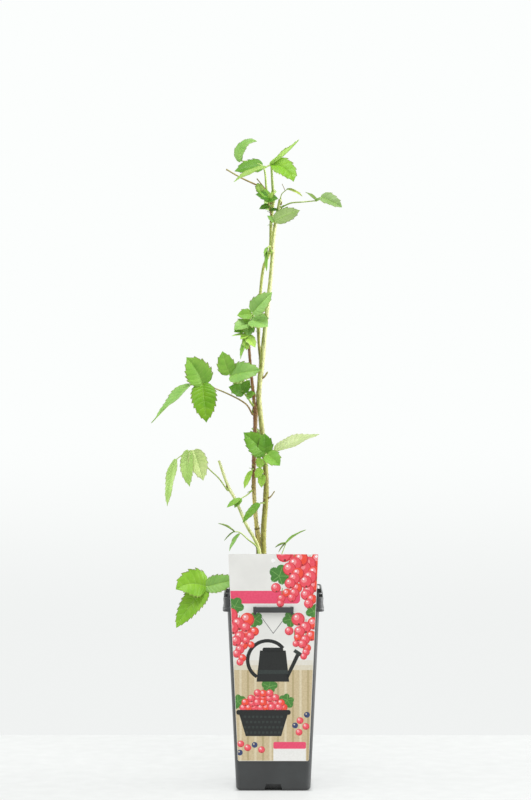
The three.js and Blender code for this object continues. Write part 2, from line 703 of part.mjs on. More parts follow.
// Stations along the midrib, each with its share of the length, its centre and the frame there.
function midribOf(base, blade) {
  const cells = THREE.MathUtils.clamp(Math.round(blade.long / leaflet.pitch), ...leaflet.cells);
  const point = base.clone();
  return Array.from({ length: cells + 1 }, (_, i) => {
    const station = { u: i / cells, centre: point.clone(), ...frameAt(blade, i / cells) };
    point.addScaledVector(frameAt(blade, (i + 0.5) / cells).ahead, blade.long / cells);
    return station;
  });
}

// One edge of a blade, as stations with a half width: a notch at each of the midrib's stations but the
// last, and a tooth after each notch but the last.
function toothedEdge(midrib, blade) {
  const cells = midrib.length - 1;
  const halfAt = (u, share) => Math.max(leaflet.neck, (blade.wide / 2) * outlineAt(u) * share);
  return midrib.slice(0, cells).flatMap((station, i) => {
    const notch = { ...station, half: halfAt(station.u, leaflet.notch) };
    const tooth = { ...station, half: halfAt(station.u + leaflet.toothAt / cells, leaflet.tooth) };
    tooth.centre = station.centre.clone().lerp(midrib[i + 1].centre, leaflet.toothAt);
    return i < cells - 1 ? [notch, tooth] : [notch];
  });
}

// A point of a blade's edge, out to one hand of its station and lifted by the fold.
function edgePoint({ centre, right, up, half }, hand, fold) {
  return centre.clone()
    .addScaledVector(right, hand * half * Math.cos(radians(fold)))
    .addScaledVector(up, half * Math.sin(radians(fold)));
}

// A toothed, pointed blade, folded a little along its midrib, as a closed slab. Its surface's corners are
// the midrib's stations, then the left edge's, then the right edge's.
function bladeGeometry(base, blade) {
  const midrib = midribOf(base, blade);
  const edge = toothedEdge(midrib, blade);
  const cells = midrib.length - 1;
  const corners = [
    ...midrib.map(({ centre, up }) => ({ place: centre, up })),
    ...[-1, 1].flatMap((hand) => edge.map((station) => (
      { place: edgePoint(station, hand, blade.fold), up: station.up }))),
  ];
  const left = edge.map((_, i) => midrib.length + i);
  const right = left.map((corner) => corner + edge.length);
  const faces = [left, right].flatMap((line) => {
    const half = [[cells - 1, cells, line.at(-1)]];
    for (let i = 0; i < cells - 1; i += 1) {
      const [notch, tooth, next] = line.slice(2 * i, 2 * i + 3);
      half.push([i, i + 1, next], [i, next, notch], [notch, next, tooth]);
    }
    return line === left ? half : half.map(([a, b, c]) => [a, c, b]);
  });
  return slabBetween(corners, faces, [...right, cells, ...left.reverse(), 0]);
}

// The closed slab between a surface's upper and lower copies, with a wall round its rim.
function slabBetween(corners, faces, rim) {
  const count = corners.length;
  const layer = (side) => corners.map(({ place, up }) => (
    place.clone().addScaledVector(up, side * leaflet.thick / 2)));
  const under = faces.map(([a, b, c]) => [a + count, c + count, b + count]);
  const wall = rim.flatMap((from, i) => {
    const to = rim[(i + 1) % rim.length];
    return [[from + count, to + count, to], [from + count, to, from]];
  });
  return geometryFrom([...layer(1), ...layer(-1)], [...faces, ...under, ...wall]);
}

// Fills in what a leaflet's spec leaves to the shoot's seed.
function grownLeaflet(spec, deal) {
  const forward = spec.forward ?? directionOf(spec.heading, spec.toward);
  const upper = upperSide(spec.face, forward);
  const vary = (spread) => spread * (2 * deal() - 1);
  const curl = (spec.curl ?? leaflet.curl) + vary(leaflet.curlSpread) / 2;
  const fold = (spec.fold ?? leaflet.fold) + vary(leaflet.foldSpread) / 2;
  const twist = (spec.twist ?? 0) + vary(leaflet.twistSpread);
  return {
    on: 1, stem: 0, sweep: 0, wide: leaflet.wide * spec.long, ...spec, forward, upper, curl, fold, twist,
  };
}

// A leaf of three: two side leaflets and a longer stalked one between them.
function leafOfThree({ long, heading, toward, face }, deal) {
  const forward = directionOf(heading, toward);
  const upper = upperSide(face, forward);
  const sides = [-1, 1].map((hand) => {
    const spread = compound.spread + compound.spreadVary * (2 * deal() - 1);
    const turned = forward.clone().applyAxisAngle(upper, hand * radians(spread));
    return { forward: turned, face, long: compound.side * long };
  });
  return [...sides, { forward, face, long, stem: compound.stem * long }];
}

// A leaflet that would touch a cane is skipped.
function clearOfCanes(geometry) {
  const solid = solidFrom(geometry);
  return Object.values(grownCanes).every((cane) => solid.intersect(cane.solid).isEmpty());
}

function growLeaflet(spec, { curve, thick: [, thick] }, deal) {
  const blade = grownLeaflet(spec, deal);
  const root = curve.getPointAt(blade.on);
  const end = thick * leaflet.stalk;
  const pieces = [];
  const base = root.clone();
  if (blade.stem > 0) {
    const way = blade.stemHeading ? directionOf(blade.stemHeading, spec.toward) : blade.forward;
    base.addScaledVector(way, blade.stem);
    const bow = root.clone().lerp(base, 0.5).add(new THREE.Vector3(0, 0, 0.05 * blade.stem));
    pieces.push(limb([root, bow, base], [end, end * leaflet.stalk], stalkSides, 2).geometry);
  }
  base.addScaledVector(blade.forward, -leaflet.root);
  const geometry = bladeGeometry(base, blade);
  if (!clearOfCanes(geometry)) return [];
  return [...pieces, geometry];
}

// ---- shoots -------------------------------------------------------------------------------------

function stalkStart(cane, shoot, target) {
  if (shoot.tip) {
    const end = cane.curve.getPointAt(1);
    const along = cane.curve.getTangentAt(1);
    const foot = end.clone().addScaledVector(along, gap);
    return [foot, foot.clone().addScaledVector(along, 2)];
  }
  const { centre, radius } = caneAt(cane, shoot.height);
  const away = target.clone().sub(centre).setZ(0).normalize();
  const foot = centre.clone().addScaledVector(away, radius + gap);
  return [foot, foot.clone().addScaledVector(away, 1.2)];
}

function makeShoot(shoot) {
  const deal = dealerOf(shoot.seed);
  const cane = grownCanes[shoot.cane];
  const pieces = [];
  let stem = null;
  shoot.stalks.forEach((stalk) => {
    const via = stalk.via.map((point) => new THREE.Vector3(...point));
    const start = stem ? [stem.getPointAt(stalk.from)] : stalkStart(cane, shoot, via[0]);
    const made = limb([...start, ...via], stalk.thick, stalkSides, 2 + 2 * via.length);
    pieces.push(made.geometry);
    const specs = [...(stalk.leaflets ?? []), ...(stalk.leaf ? leafOfThree(stalk.leaf, deal) : [])];
    specs.forEach((spec) => pieces.push(...growLeaflet(spec, made, deal)));
    stem ??= made.curve;
  });
  return geometryOf(outerShell(joined(pieces.map(solidFrom))));
}

// ---- the plant in its pot -----------------------------------------------------------------------

const group = new THREE.Group();

function addPart(name, geometry, colour, roughness) {
  const material = new THREE.MeshStandardMaterial({ color: colour, roughness, metalness: 0 });
  const mesh = new THREE.Mesh(geometry, material);
  mesh.name = name;
  group.add(mesh);
}

addPart('pot', makePot(), 0x4a4c4c, 0.55);
addPart('potting_soil', makeSoil(), 0x3a2c20, 0.95);
addPart('label_card', makeCard(), 0xeeece8, 0.45);
Object.entries(canes).forEach(([key, { name, colour }]) => {
  addPart(name, geometryOf(grownCanes[key].solid), colour, 0.7);
});
shoots.forEach((shoot) => addPart(shoot.name, makeShoot(shoot), shoot.colour, 0.6));

export default group;
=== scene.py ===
# A young raspberry plant in a tall square nursery pot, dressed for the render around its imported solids.
# Sizes are in millimetres until a mesh is made. X is right, Y is away from the front, Z is up.

import json
from bisect import bisect_right
from math import cos, exp, hypot, pi, radians, sin

import bpy
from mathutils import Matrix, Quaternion, Vector, noise


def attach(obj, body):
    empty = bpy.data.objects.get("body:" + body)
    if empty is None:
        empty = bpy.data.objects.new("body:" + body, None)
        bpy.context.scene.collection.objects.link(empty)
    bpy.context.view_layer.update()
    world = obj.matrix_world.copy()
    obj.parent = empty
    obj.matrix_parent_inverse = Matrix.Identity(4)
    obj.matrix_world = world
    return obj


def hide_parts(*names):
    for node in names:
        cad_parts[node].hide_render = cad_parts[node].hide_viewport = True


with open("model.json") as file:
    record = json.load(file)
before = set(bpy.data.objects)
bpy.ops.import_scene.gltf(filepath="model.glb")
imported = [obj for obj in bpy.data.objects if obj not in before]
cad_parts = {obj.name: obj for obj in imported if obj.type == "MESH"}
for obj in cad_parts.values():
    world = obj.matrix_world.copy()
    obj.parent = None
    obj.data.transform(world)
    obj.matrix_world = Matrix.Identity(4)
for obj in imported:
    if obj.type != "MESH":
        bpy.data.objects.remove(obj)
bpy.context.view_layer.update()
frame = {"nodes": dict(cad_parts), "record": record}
slotOf = {row["node"]: row["material_slot"] for row in frame["record"]["subparts"]}
mm = 0.001
upright = Vector((0, 0, 1))


# Small helpers for numbers and pieces.

def report(stage):
    print("scene:", stage)


def dealerOf(seed):
    # deals even random numbers between 0 and 1, the same ones for the same seed
    state = seed * 7919 + 17

    def deal():
        nonlocal state
        state = state * 16807 % 2147483647
        return state / 2147483647
    return deal


def between(ends, share):
    return ends[0] + (ends[1] - ends[0]) * share


def around(count):
    return [(i, (i + 1) % count) for i in range(count)]


def linkPiece(name, data):
    piece = bpy.data.objects.new(name, data)
    bpy.context.scene.collection.objects.link(piece)
    return piece


def aimPiece(piece, place, aim):
    piece.location = Vector(place) * mm
    piece.rotation_euler = (Vector(aim) * mm - piece.location).to_track_quat("-Z", "Y").to_euler()


def makePiece(name, points, faces, materials=(), marks=None, sharpAt=None):
    mesh = bpy.data.meshes.new(name)
    mesh.from_pydata([tuple(c * mm for c in point) for point in points], [], faces)
    for material in materials:
        mesh.materials.append(material)
    if marks:
        mesh.polygons.foreach_set("material_index", marks)
    mesh.shade_smooth()
    if sharpAt:
        mesh.set_sharp_from_angle(angle=radians(sharpAt))
    mesh.update()
    return linkPiece(name, mesh)


def dress(piece, material):
    piece.data.materials.clear()
    piece.data.materials.append(material)


def settle(piece, nodes=()):
    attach(piece, "root")
    if nodes:
        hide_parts(*nodes)
    report(f"{piece.name}: {len(piece.data.polygons)} faces")


def applyModifiers(piece):
    depsgraph = bpy.context.evaluated_depsgraph_get()
    made = bpy.data.meshes.new_from_object(
        piece.evaluated_get(depsgraph), preserve_all_data_layers=True, depsgraph=depsgraph)
    raw = piece.data
    piece.modifiers.clear()
    piece.data = made
    made.name = piece.name
    bpy.data.meshes.remove(raw)


# Node trees are built output by output: each call adds a node and hands on one of its outputs.
class Graph:
    def __init__(self, tree, family):
        self.tree, self.family = tree, family

    def add(self, kind, links=(), output=0, **settings):
        node = self.tree.nodes.new(kind if "Node" in kind else self.family + kind)
        for setting, value in settings.items():
            setattr(node, setting, value)
        for socket, value in dict(links).items():
            self.feed(value, node.inputs[socket])
        return node.outputs[output] if node.outputs else node

    def feed(self, value, socket):
        if isinstance(value, bpy.types.NodeSocket):
            self.tree.links.new(value, socket)
        else:
            socket.default_value = value

    def math(self, operation, *values):
        return self.add("ShaderNodeMath", enumerate(values), operation=operation)

    def vector(self, operation, links, output=0):
        return self.add("ShaderNodeVectorMath", links, output, operation=operation)

    def noise(self, scale, detail=3.0, output=0, **where):
        return self.add("ShaderNodeTexNoise", {"Scale": scale, "Detail": detail, **where}, output)

    def span(self, value, start, end, low=0.0, high=1.0, kind="LINEAR"):
        return self.add("ShaderNodeMapRange", {
            "Value": value, "From Min": start, "From Max": end, "To Min": low, "To Max": high},
            interpolation_type=kind)

    def mix(self, share, first, second):
        return self.add("ShaderNodeMix", {0: share, 6: first, 7: second}, 2, data_type="RGBA")

    def attribute(self, name):
        return self.add("InputNamedAttribute", {"Name": name}, data_type="FLOAT")

    def random(self, kind, links, output):
        return self.add("FunctionNodeRandomValue", links, output, data_type=kind)

    def scatter(self, spots, shape, turn, size):
        laid = self.add("InstanceOnPoints", {
            "Points": spots, "Instance": shape, "Rotation": turn, "Scale": size})
        return self.add("RealizeInstances", {"Geometry": laid})

    def paint(self, geometry, material):
        return self.add("SetMaterial", {"Geometry": geometry, "Material": material})


def newTree(name, **inputs):
    tree = bpy.data.node_groups.new(name, "GeometryNodeTree")
    tree.is_modifier = True
    tree.interface.new_socket("Geometry", in_out="INPUT", socket_type="NodeSocketGeometry")
    for label, kind in inputs.items():
        tree.interface.new_socket(label, in_out="INPUT", socket_type="NodeSocket" + kind)
    tree.interface.new_socket("Geometry", in_out="OUTPUT", socket_type="NodeSocketGeometry")
    return Graph(tree, "GeometryNode"), tree.nodes.new("NodeGroupInput").outputs


def endTree(graph, geometry):
    graph.add("NodeGroupOutput", {"Geometry": geometry})
    return graph.tree


def runTree(piece, tree, values):
    modifier = piece.modifiers.new(tree.name, "NODES")
    modifier.node_group = tree
    for item in tree.interface.items_tree:
        if item.in_out == "INPUT" and item.name in values:
            modifier[item.identifier] = values[item.name]
    applyModifiers(piece)


# Materials start from tones in soft patches, with uneven gloss and a fine relief.
# A grain is the relief's scale, strength and depth.
patches = (0.36, 0.64)                # the span of the noise that the tones share out
glossSpan = (0.3, 0.7)                # the span that goes from glossy to dull
glossPatch = 6                        # how many grains wide the uneven gloss is


def tone(code):
    # a code such as 7a7b7a as the renderer's linear colour
    parts = [int(code[i:i + 2], 16) / 255 for i in (0, 2, 4)]
    return [c / 12.92 if c <= 0.04045 else ((c + 0.055) / 1.055) ** 2.4 for c in parts] + [1]


def newMaterial(name, roughness, grain, **sockets):
    material = bpy.data.materials.new(name)
    material.use_nodes = True
    graph = Graph(material.node_tree, "ShaderNode")
    shader = graph.tree.nodes["Principled BSDF"].inputs
    where = graph.add("TexCoord", output="Object")
    scale, strength, depth = grain
    bump = {"Height": graph.noise(scale, 4.0, Vector=where), "Strength": strength, "Distance": depth * mm}
    graph.feed(graph.add("Bump", bump), shader["Normal"])
    uneven = graph.noise(scale / glossPatch, Vector=where)
    graph.feed(graph.span(uneven, *glossSpan, *roughness), shader["Roughness"])
    for socket, value in sockets.items():
        shader[socket].default_value = value
    return material, graph, shader, where


def patchy(name, codes, patch, roughness, grain, **sockets):
    material, graph, shader, where = newMaterial(name, roughness, grain, **sockets)
    codes = codes.split()
    colour = graph.add("ValToRGB", {"Fac": graph.noise(patch, Vector=where)})
    elements = colour.node.color_ramp.elements
    while len(elements) < len(codes):
        elements.new(0.5)
    for i, (element, code) in enumerate(zip(elements, codes)):
        element.position = between(patches, i / (len(codes) - 1))
        element.color = tone(code)
    graph.feed(colour, shader["Base Color"])
    return material


# The camera stands a little under the height of the plant's middle and looks straight at the front.
frontView = {"place": (0, -2548, 440), "aim": (-8.1, 0, 396.3), "lens": 111.56, "sensor": 36, "sight": 20}


def makeCamera():
    lens = bpy.data.cameras.new("frontCamera")
    lens.lens = frontView["lens"]
    lens.sensor_width = frontView["sensor"]
    lens.clip_end = frontView["sight"]
    camera = linkPiece("frontCamera", lens)
    aimPiece(camera, frontView["place"], frontView["aim"])
    bpy.context.scene.camera = camera


makeCamera()


# The pot, moulded in one piece, with its channels, corner slots and the two straps of its rim.
pot = {
    "bottomHalf": 37.8, "shoulderHalf": 46.5, "shoulderHeight": 183.3, "rimHalf": 51.2, "ledgeHeight": 187.8,
    "collarHalf": 50.6, "collarHeight": 197, "lipHalf": 50.1, "height": 202.5, "wall": 1.4, "floor": 2,
    "corner": 7, "footEdge": 3.4, "rimEdge": 0.6, "floorFillet": 1.5, "lipRound": 0.55,
    "arcSteps": 9, "footSteps": 6, "footPlan": 0.65, "control": 0.7, "past": 2, "sharpAt": 32,
    "ledgeBevel": 0.5, "collarFlare": 0.05,
    "channel": {"wide": 19.8, "roof": 14.7, "tall": 7, "deep": 12},
    "drainHole": {"wide": 9, "deep": 3},
    "cornerSlot": {"wide": 4.6, "low": 197.7, "high": 201.2},
    "strap": {"half": 20, "low": 182.9, "high": 188.4, "thick": 1.8, "standOff": 1.6,
              "legWide": 2.5, "legDrop": 2.1, "legRise": 1, "round": 0.35, "gap": 0.3, "lap": 0.4},
}


def bodyHalf(height):
    return between((pot["bottomHalf"], pot["shoulderHalf"]), height / pot["shoulderHeight"])


def roundedSquare(half, radius):
    points, straight, control = [], half - radius, pot["control"]
    for quarter in range(4):
        turn = Quaternion(upright, quarter * pi / 2)
        side = [(half, control - straight), (half, 0), (half, straight - control)]
        angles = [pi / 2 * step / pot["arcSteps"] for step in range(pot["arcSteps"] + 1)]
        side += [(straight + radius * cos(a), straight + radius * sin(a)) for a in angles]
        points += [turn @ Vector((x, y, 0)) for x, y in side]
    return points


def tower(levels):
    rings = [[p + upright * height for p in roundedSquare(half, radius)] for height, half, radius in levels]
    count, last = len(rings[0]), len(rings[0]) * (len(rings) - 1)
    faces = [tuple(reversed(range(count))), tuple(range(last, last + count))]
    for low in range(0, last, count):
        faces += [(low + i, low + j, low + count + j, low + count + i) for i, j in around(count)]
    return [p for ring in rings for p in ring], faces


def boxOf(x, y, z):
    points = [(x[i], y[j], z[k]) for k in (0, 1) for j in (0, 1) for i in (0, 1)]
    return points, [(0, 2, 3, 1), (4, 5, 7, 6), (0, 1, 5, 4), (2, 6, 7, 3), (0, 4, 6, 2), (1, 3, 7, 5)]


def channelOf(grow):
    size, edge, past = pot["channel"], -pot["bottomHalf"], pot["past"]
    half, roof, top = size["wide"] / 2 + grow, size["roof"] / 2 + grow, size["tall"] + grow
    outline = [(-half, -past), (half, -past), (roof, top), (-roof, top)]
    points = [(x, y, z) for y in (edge - past, edge + size["deep"] + grow) for x, z in outline]
    return points, [(0, 1, 2, 3), (7, 6, 5, 4), (0, 4, 5, 1), (1, 5, 6, 2), (2, 6, 7, 3), (3, 7, 4, 0)]


def onSides(solid, sides=range(4)):
    points, faces = [], []
    for side in sides:
        turn = Quaternion(upright, side * pi / 2)
        faces += [tuple(corner + len(points) for corner in face) for face in solid[1]]
        points += [turn @ Vector(point) for point in solid[0]]
    return points, faces


def combine(piece, operation, *solids):
    for solid in solids:
        tool = makePiece("tool", *solid)
        modifier = piece.modifiers.new(operation, "BOOLEAN")
        modifier.operation = operation
        modifier.solver = "EXACT"
        modifier.object = tool
        applyModifiers(piece)
        bpy.data.objects.remove(tool)


def takenApart(piece):
    points = [tuple(c / mm for c in v.co) for v in piece.data.vertices]
    faces = [tuple(p.vertices) for p in piece.data.polygons]
    bpy.data.objects.remove(piece)
    return points, faces


def edgeLevels(height, half, radius, size, up=-1, out=-1, plan=0):
    # three levels that round an edge below its height, or above it where up is 1
    return [(height + up * size * rise, half + out * size * run, radius + plan * size * run)
            for rise, run in ((1, 0), (0.3, 0.3), (0, 1))[::-up]]


def cavityLevels():
    wall, floor, fillet, control = pot["wall"], pot["floor"], pot["floorFillet"], pot["control"]
    radius, neck, inside = pot["corner"] - wall, pot["shoulderHalf"] - wall, pot["lipHalf"] - wall
    shoulder, ledge, top = pot["shoulderHeight"], pot["ledgeHeight"], pot["height"]
    lip = edgeLevels(top, inside, radius, pot["lipRound"], out=1)
    return [
        *edgeLevels(floor, bodyHalf(floor) - wall, radius, fillet, up=1, plan=-1)[:2],
        (floor + fillet, bodyHalf(floor + fillet) - wall, radius),
        (shoulder - control, neck, radius), (shoulder, neck, radius),
        (ledge, inside, radius), (ledge + control, inside, radius),
        *lip, (top + pot["past"], lip[-1][1], radius),
    ]


def outsideLevels():
    corner, foot, edge, control = pot["corner"], pot["footEdge"], pot["rimEdge"], pot["control"]
    rim, shoulder, ledge, bevel = pot["rimHalf"], pot["shoulderHeight"], pot["ledgeHeight"], pot["ledgeBevel"]
    collar, lip, top, lipRound = pot["collarHeight"], pot["lipHalf"], pot["height"], pot["lipRound"]
    levels = []
    for a in (pi / 2 * step / pot["footSteps"] for step in range(pot["footSteps"] + 1)):
        inset = foot * (1 - sin(a))
        levels.append((foot * (1 - cos(a)), bodyHalf(foot) - inset, corner - pot["footPlan"] * inset))
    return levels + [
        (foot + control, bodyHalf(foot + control), corner),
        (shoulder - control, bodyHalf(shoulder - control), corner),
        (shoulder, pot["shoulderHalf"], corner),
        *edgeLevels(shoulder, rim, corner, edge, up=1), *edgeLevels(ledge, rim, corner, edge),
        (ledge + bevel, rim - edge - bevel, corner),
        (collar - control, pot["collarHalf"] + pot["collarFlare"], corner),
        (collar, pot["collarHalf"], corner),
        (collar + edge / 2, lip + edge / 3, corner),
        *edgeLevels(top, lip, corner, lipRound)[:2], (top, lip - lipRound, corner - lipRound),
    ]


def makePot(plastic):
    past, slot, hole, channel = pot["past"], pot["cornerSlot"], pot["drainHole"], pot["channel"]
    hollow = makePiece("hollow", *tower(cavityLevels()))
    combine(hollow, "DIFFERENCE", onSides(channelOf(pot["wall"])))
    end = channel["deep"] - pot["bottomHalf"]
    drain = boxOf((-hole["wide"] / 2, hole["wide"] / 2), (end - hole["deep"], end),
                  (channel["tall"] - past, channel["tall"] + pot["wall"] + past))
    window = boxOf((-slot["wide"] / 2, slot["wide"] / 2), (-2 * pot["rimHalf"], -pot["rimHalf"] - past),
                   (slot["low"], slot["high"]))
    body = makePiece("pot_body", *tower(outsideLevels()))
    combine(body, "DIFFERENCE", takenApart(hollow), onSides(channelOf(0)), onSides(drain),
            onSides(window, (0.5, 1.5, 2.5, 3.5)))
    dress(body, plastic)
    body.data.shade_smooth()
    body.data.set_sharp_from_angle(angle=radians(pot["sharpAt"]))
    settle(body, ["pot"])


def makeStraps(plastic):
    size = pot["strap"]
    face, low, joint = pot["rimHalf"] + size["standOff"], size["low"], size["low"] + size["legRise"]
    front, root = face + size["thick"], face + size["gap"]
    strap = makePiece("strap", *boxOf((-size["half"], size["half"]), (-front, -face), (low, size["high"])))
    for hand in (-1, 1):
        ends = sorted(hand * x for x in (size["half"] - size["legWide"], size["half"]))
        top = pot["ledgeHeight"] - pot["rimEdge"]
        combine(strap, "UNION", boxOf(ends, (-root, size["lap"] - pot["rimHalf"]), (joint, top)),
                boxOf(ends, (-front, -root), (low - size["legDrop"], joint)))
    edge = strap.modifiers.new("edge", "BEVEL")
    edge.width = size["round"] * mm
    edge.segments = 2
    applyModifiers(strap)
    straps = onSides(takenApart(strap), (0, 2))
    settle(makePiece("pot_straps", *straps, [plastic], sharpAt=pot["sharpAt"]))


potPlastic = patchy("potPlastic", "242627 292b2c 2e3132", 38, (0.3, 0.44), (1900, 0.22, 0.12),
                    **{"Coat Weight": 0.4, "Coat Roughness": 0.3})
makePot(potPlastic)
makeStraps(potPlastic)


# The soil's crumbly top, a relief over the solid block, strewn with crumbs and bits of bark.
soil = {
    "top": 182, "clear": 0.4, "rings": 26, "depth": 5, "proud": 0.9, "sharpAt": 60,
    "relief": 1.5, "reliefScale": 0.055, "fractal": (0.9, 2.1, 5), "mound": 1.6, "moundWide": 16,
    "rootCrown": (-9, -1), "dip": 1.4, "dipPower": 6, "lump": 1.6, "lumpScale": 900.0, "roundness": 2,
    "strewn": {
        "crumb": {"density": 42000, "size": (0.8, 2.3), "seed": 3, "stretch": (1, 1, 0.8)},
        "chip": {"density": 9000, "size": (1.6, 3.4), "seed": 8, "stretch": (1, 0.42, 0.22)},
    },
}


def soilHeight(x, y, share):
    lumps = noise.fractal(Vector((x, y, 3)) * soil["reliefScale"], *soil["fractal"]) * soil["relief"]
    cx, cy = soil["rootCrown"]
    mound = soil["mound"] * exp(-((x - cx) ** 2 + (y - cy) ** 2) / (2 * soil["moundWide"] ** 2))
    return soil["top"] + soil["proud"] + lumps + mound - soil["dip"] * share ** soil["dipPower"]


def makeSoilTop(earth):
    outline = roundedSquare(bodyHalf(soil["top"]) - pot["wall"] - soil["clear"], pot["corner"] - pot["wall"])
    count, rings = len(outline), soil["rings"]
    points = [(0, 0, soilHeight(0, 0, 0))]
    faces = [(0, 1 + i, 1 + j) for i, j in around(count)]
    for share in (ring / rings for ring in range(1, rings + 1)):
        points += [(p.x * share, p.y * share, soilHeight(p.x * share, p.y * share, share)) for p in outline]
    for low in range(1, 1 + (rings - 1) * count, count):
        faces += [(low + i, low + count + i, low + count + j, low + j) for i, j in around(count)]
    skirt, bareFaces = len(points), len(faces)
    points += [(p.x, p.y, soil["top"] - soil["depth"]) for p in outline]
    faces += [(skirt - count + i, skirt + i, skirt + j, skirt - count + j) for i, j in around(count)]
    faces.append(tuple(skirt + i for i in reversed(range(count))))
    settle(makePiece("soil_top", points, faces, [earth], sharpAt=soil["sharpAt"]))
    return makePiece("soil_crumbs", points[:skirt], faces[:bareFaces])  # the ground for the crumbs


def crumbTree():
    sockets = {"density": "Float", "low": "Float", "high": "Float", "material": "Material"}
    graph, given = newTree("crumbs", **{
        f"{kind} {label}": socket for kind in soil["strewn"] for label, socket in sockets.items()})
    strewn = []
    for kind, rule in soil["strewn"].items():
        seed = rule["seed"]
        spots = graph.add("DistributePointsOnFaces", {
            "Mesh": given["Geometry"], "Density": given[kind + " density"], "Seed": seed})
        size = graph.random("FLOAT", {2: given[kind + " low"], 3: given[kind + " high"], "Seed": seed}, 1)
        turn = graph.random("FLOAT_VECTOR", {0: (0, 0, 0), 1: (2 * pi, 2 * pi, 2 * pi), "Seed": seed + 1}, 0)
        grain = graph.add("MeshIcoSphere", {"Radius": 0.5, "Subdivisions": soil["roundness"]})
        shape = graph.add("Transform", {"Geometry": grain, "Scale": rule["stretch"]})
        lump = graph.vector("SUBTRACT", {0: graph.noise(soil["lumpScale"], 1.0, "Color"), 1: (0.5, 0.5, 0.5)})
        shift = graph.vector("SCALE", {0: lump, "Scale": soil["lump"] * mm})
        real = graph.scatter(spots, shape, turn, size)
        uneven = graph.add("SetPosition", {"Geometry": real, "Offset": shift})
        strewn.append(graph.paint(uneven, given[kind + " material"]))
    both = graph.add("JoinGeometry")
    for heap in strewn:
        graph.tree.links.new(heap, both.node.inputs["Geometry"])
    return endTree(graph, both)


earth = patchy("earth", "1c120b 2c1d12 3b2818", 420, (0.85, 1.0), (1500, 0.9, 0.6))
grit = {"crumb": patchy("crumbEarth", "20150c 332115 4a3421", 260, (0.85, 1.0), (2600, 0.8, 0.3)),
        "chip": patchy("barkChip", "4b3320 6b4a2e 8a6843", 300, (0.7, 0.9), (2600, 0.6, 0.2))}
dress(frame["nodes"]["potting_soil"], earth)
crumbs = makeSoilTop(earth)
runTree(crumbs, crumbTree(), {name: value for kind, rule in soil["strewn"].items() for name, value in (
    (kind + " density", rule["density"]), (kind + " low", rule["size"][0] * mm),
    (kind + " high", rule["size"][1] * mm), (kind + " material", grit[kind]))})
settle(crumbs)


# Paths with smooth bends, and strands: limbs whose girth is kept as an attribute along their middle line.
class Path:
    steps = 200

    def __init__(self, points):
        self.points = [Vector(point) for point in points]
        spots = [self.spot(i / self.steps) for i in range(self.steps + 1)]
        self.lengths = [0.0]
        for before, after in zip(spots, spots[1:]):
            self.lengths.append(self.lengths[-1] + (after - before).length)
        self.length = self.lengths[-1]

    def spot(self, share):
        points = self.points
        spans = len(points) - 1
        first = min(int(share * spans), spans - 1)
        t = share * spans - first
        b, c = points[first], points[first + 1]
        a = points[first - 1] if first else 2 * b - c
        d = points[first + 2] if first + 2 < len(points) else 2 * c - b
        leave, arrive = (c - a) / 2, (d - b) / 2
        return (b + leave * t + (3 * (c - b) - 2 * leave - arrive) * t ** 2
                + (2 * (b - c) + leave + arrive) * t ** 3)

    def at(self, share):
        target = min(max(share, 0), 1) * self.length
        low = min(bisect_right(self.lengths, target), self.steps) - 1
        part = (target - self.lengths[low]) / max(self.lengths[low + 1] - self.lengths[low], 1e-9)
        return self.spot((low + part) / self.steps)

    def along(self, share):
        step = 1e-3
        return (self.at(share + step) - self.at(share - step)).normalized()


def strandsPiece(name, strands):
    # each strand is a list of (point, radius, share of bristles), one after the other along a limb
    points, edges, marks = [], [], {"girth": [], "bristly": [], "along": []}
    for strand in strands:
        last = len(strand) - 1
        edges += [(len(points) + i, len(points) + i + 1) for i in range(last)]
        for i, (point, radius, bristly) in enumerate(strand):
            points.append([c * mm for c in point])
            for values, value in zip(marks.values(), (radius * mm, bristly, i / last)):
                values.append(value)
    mesh = bpy.data.meshes.new(name)
    mesh.from_pydata(points, edges, [])
    for label, values in marks.items():
        mesh.attributes.new(label, "FLOAT", "POINT").data.foreach_set("value", values)
    return linkPiece(name, mesh)


# Their bark has painted light on it: paler on the side that faces the light and darker, as painted shade, on
# the far side, with streaks and dark flecks that run lengthwise.
limbRule = {
    # the first way below is where the painted light on the bark comes from; the span after it is where
    # painted shade turns to painted light
    "paintedLightFrom": (0.94, -0.28, 0.2), "lit": (-0.25, 0.6), "streaks": 2.4, "streakScale": 620,
    "stretch": (1, 1, 0.22), "fleckScale": 1500, "fleckSpan": (0.70, 0.76),
    "gloss": (0.45, 0.62), "grain": (1300, 0.5, 0.25),
    "bristleSides": 5, "bristleSize": (0.45, 1.1), "bristleLook": (300, (0.4, 0.6), (2500, 0.2, 0.05)),
}


def limbTree():
    # sweeps a round limb along every strand, roughens it, and marks the side that faces the painted light
    graph, given = newTree("limbs", **{
        "Sides": "Int", "Relief": "Float", "Relief scale": "Float", "Material": "Material"})
    tube = graph.add("CurveToMesh", {
        "Curve": graph.add("MeshToCurve", {"Mesh": given["Geometry"]}),
        "Profile Curve": graph.add("CurvePrimitiveCircle", {"Resolution": given["Sides"], "Radius": 1.0}),
        "Scale": graph.attribute("girth"), "Fill Caps": True})
    normal = graph.add("InputNormal")
    lump = graph.math("SUBTRACT", graph.noise(given["Relief scale"]), 0.5)
    shift = graph.vector("SCALE", {0: normal, "Scale": graph.math("MULTIPLY", lump, given["Relief"])})
    # how far each point faces the painted light
    facing = graph.vector("DOT_PRODUCT", {0: normal, 1: limbRule["paintedLightFrom"]}, "Value")
    sunny = graph.add("StoreNamedAttribute", {
        "Geometry": graph.add("SetPosition", {"Geometry": tube, "Offset": shift}),
        "Name": "paintedLitSide", "Value": facing}, data_type="FLOAT", domain="POINT")
    smooth = graph.add("SetShadeSmooth", {"Geometry": sunny})
    return endTree(graph, graph.paint(graph.add("RealizeInstances", {"Geometry": smooth}), given["Material"]))


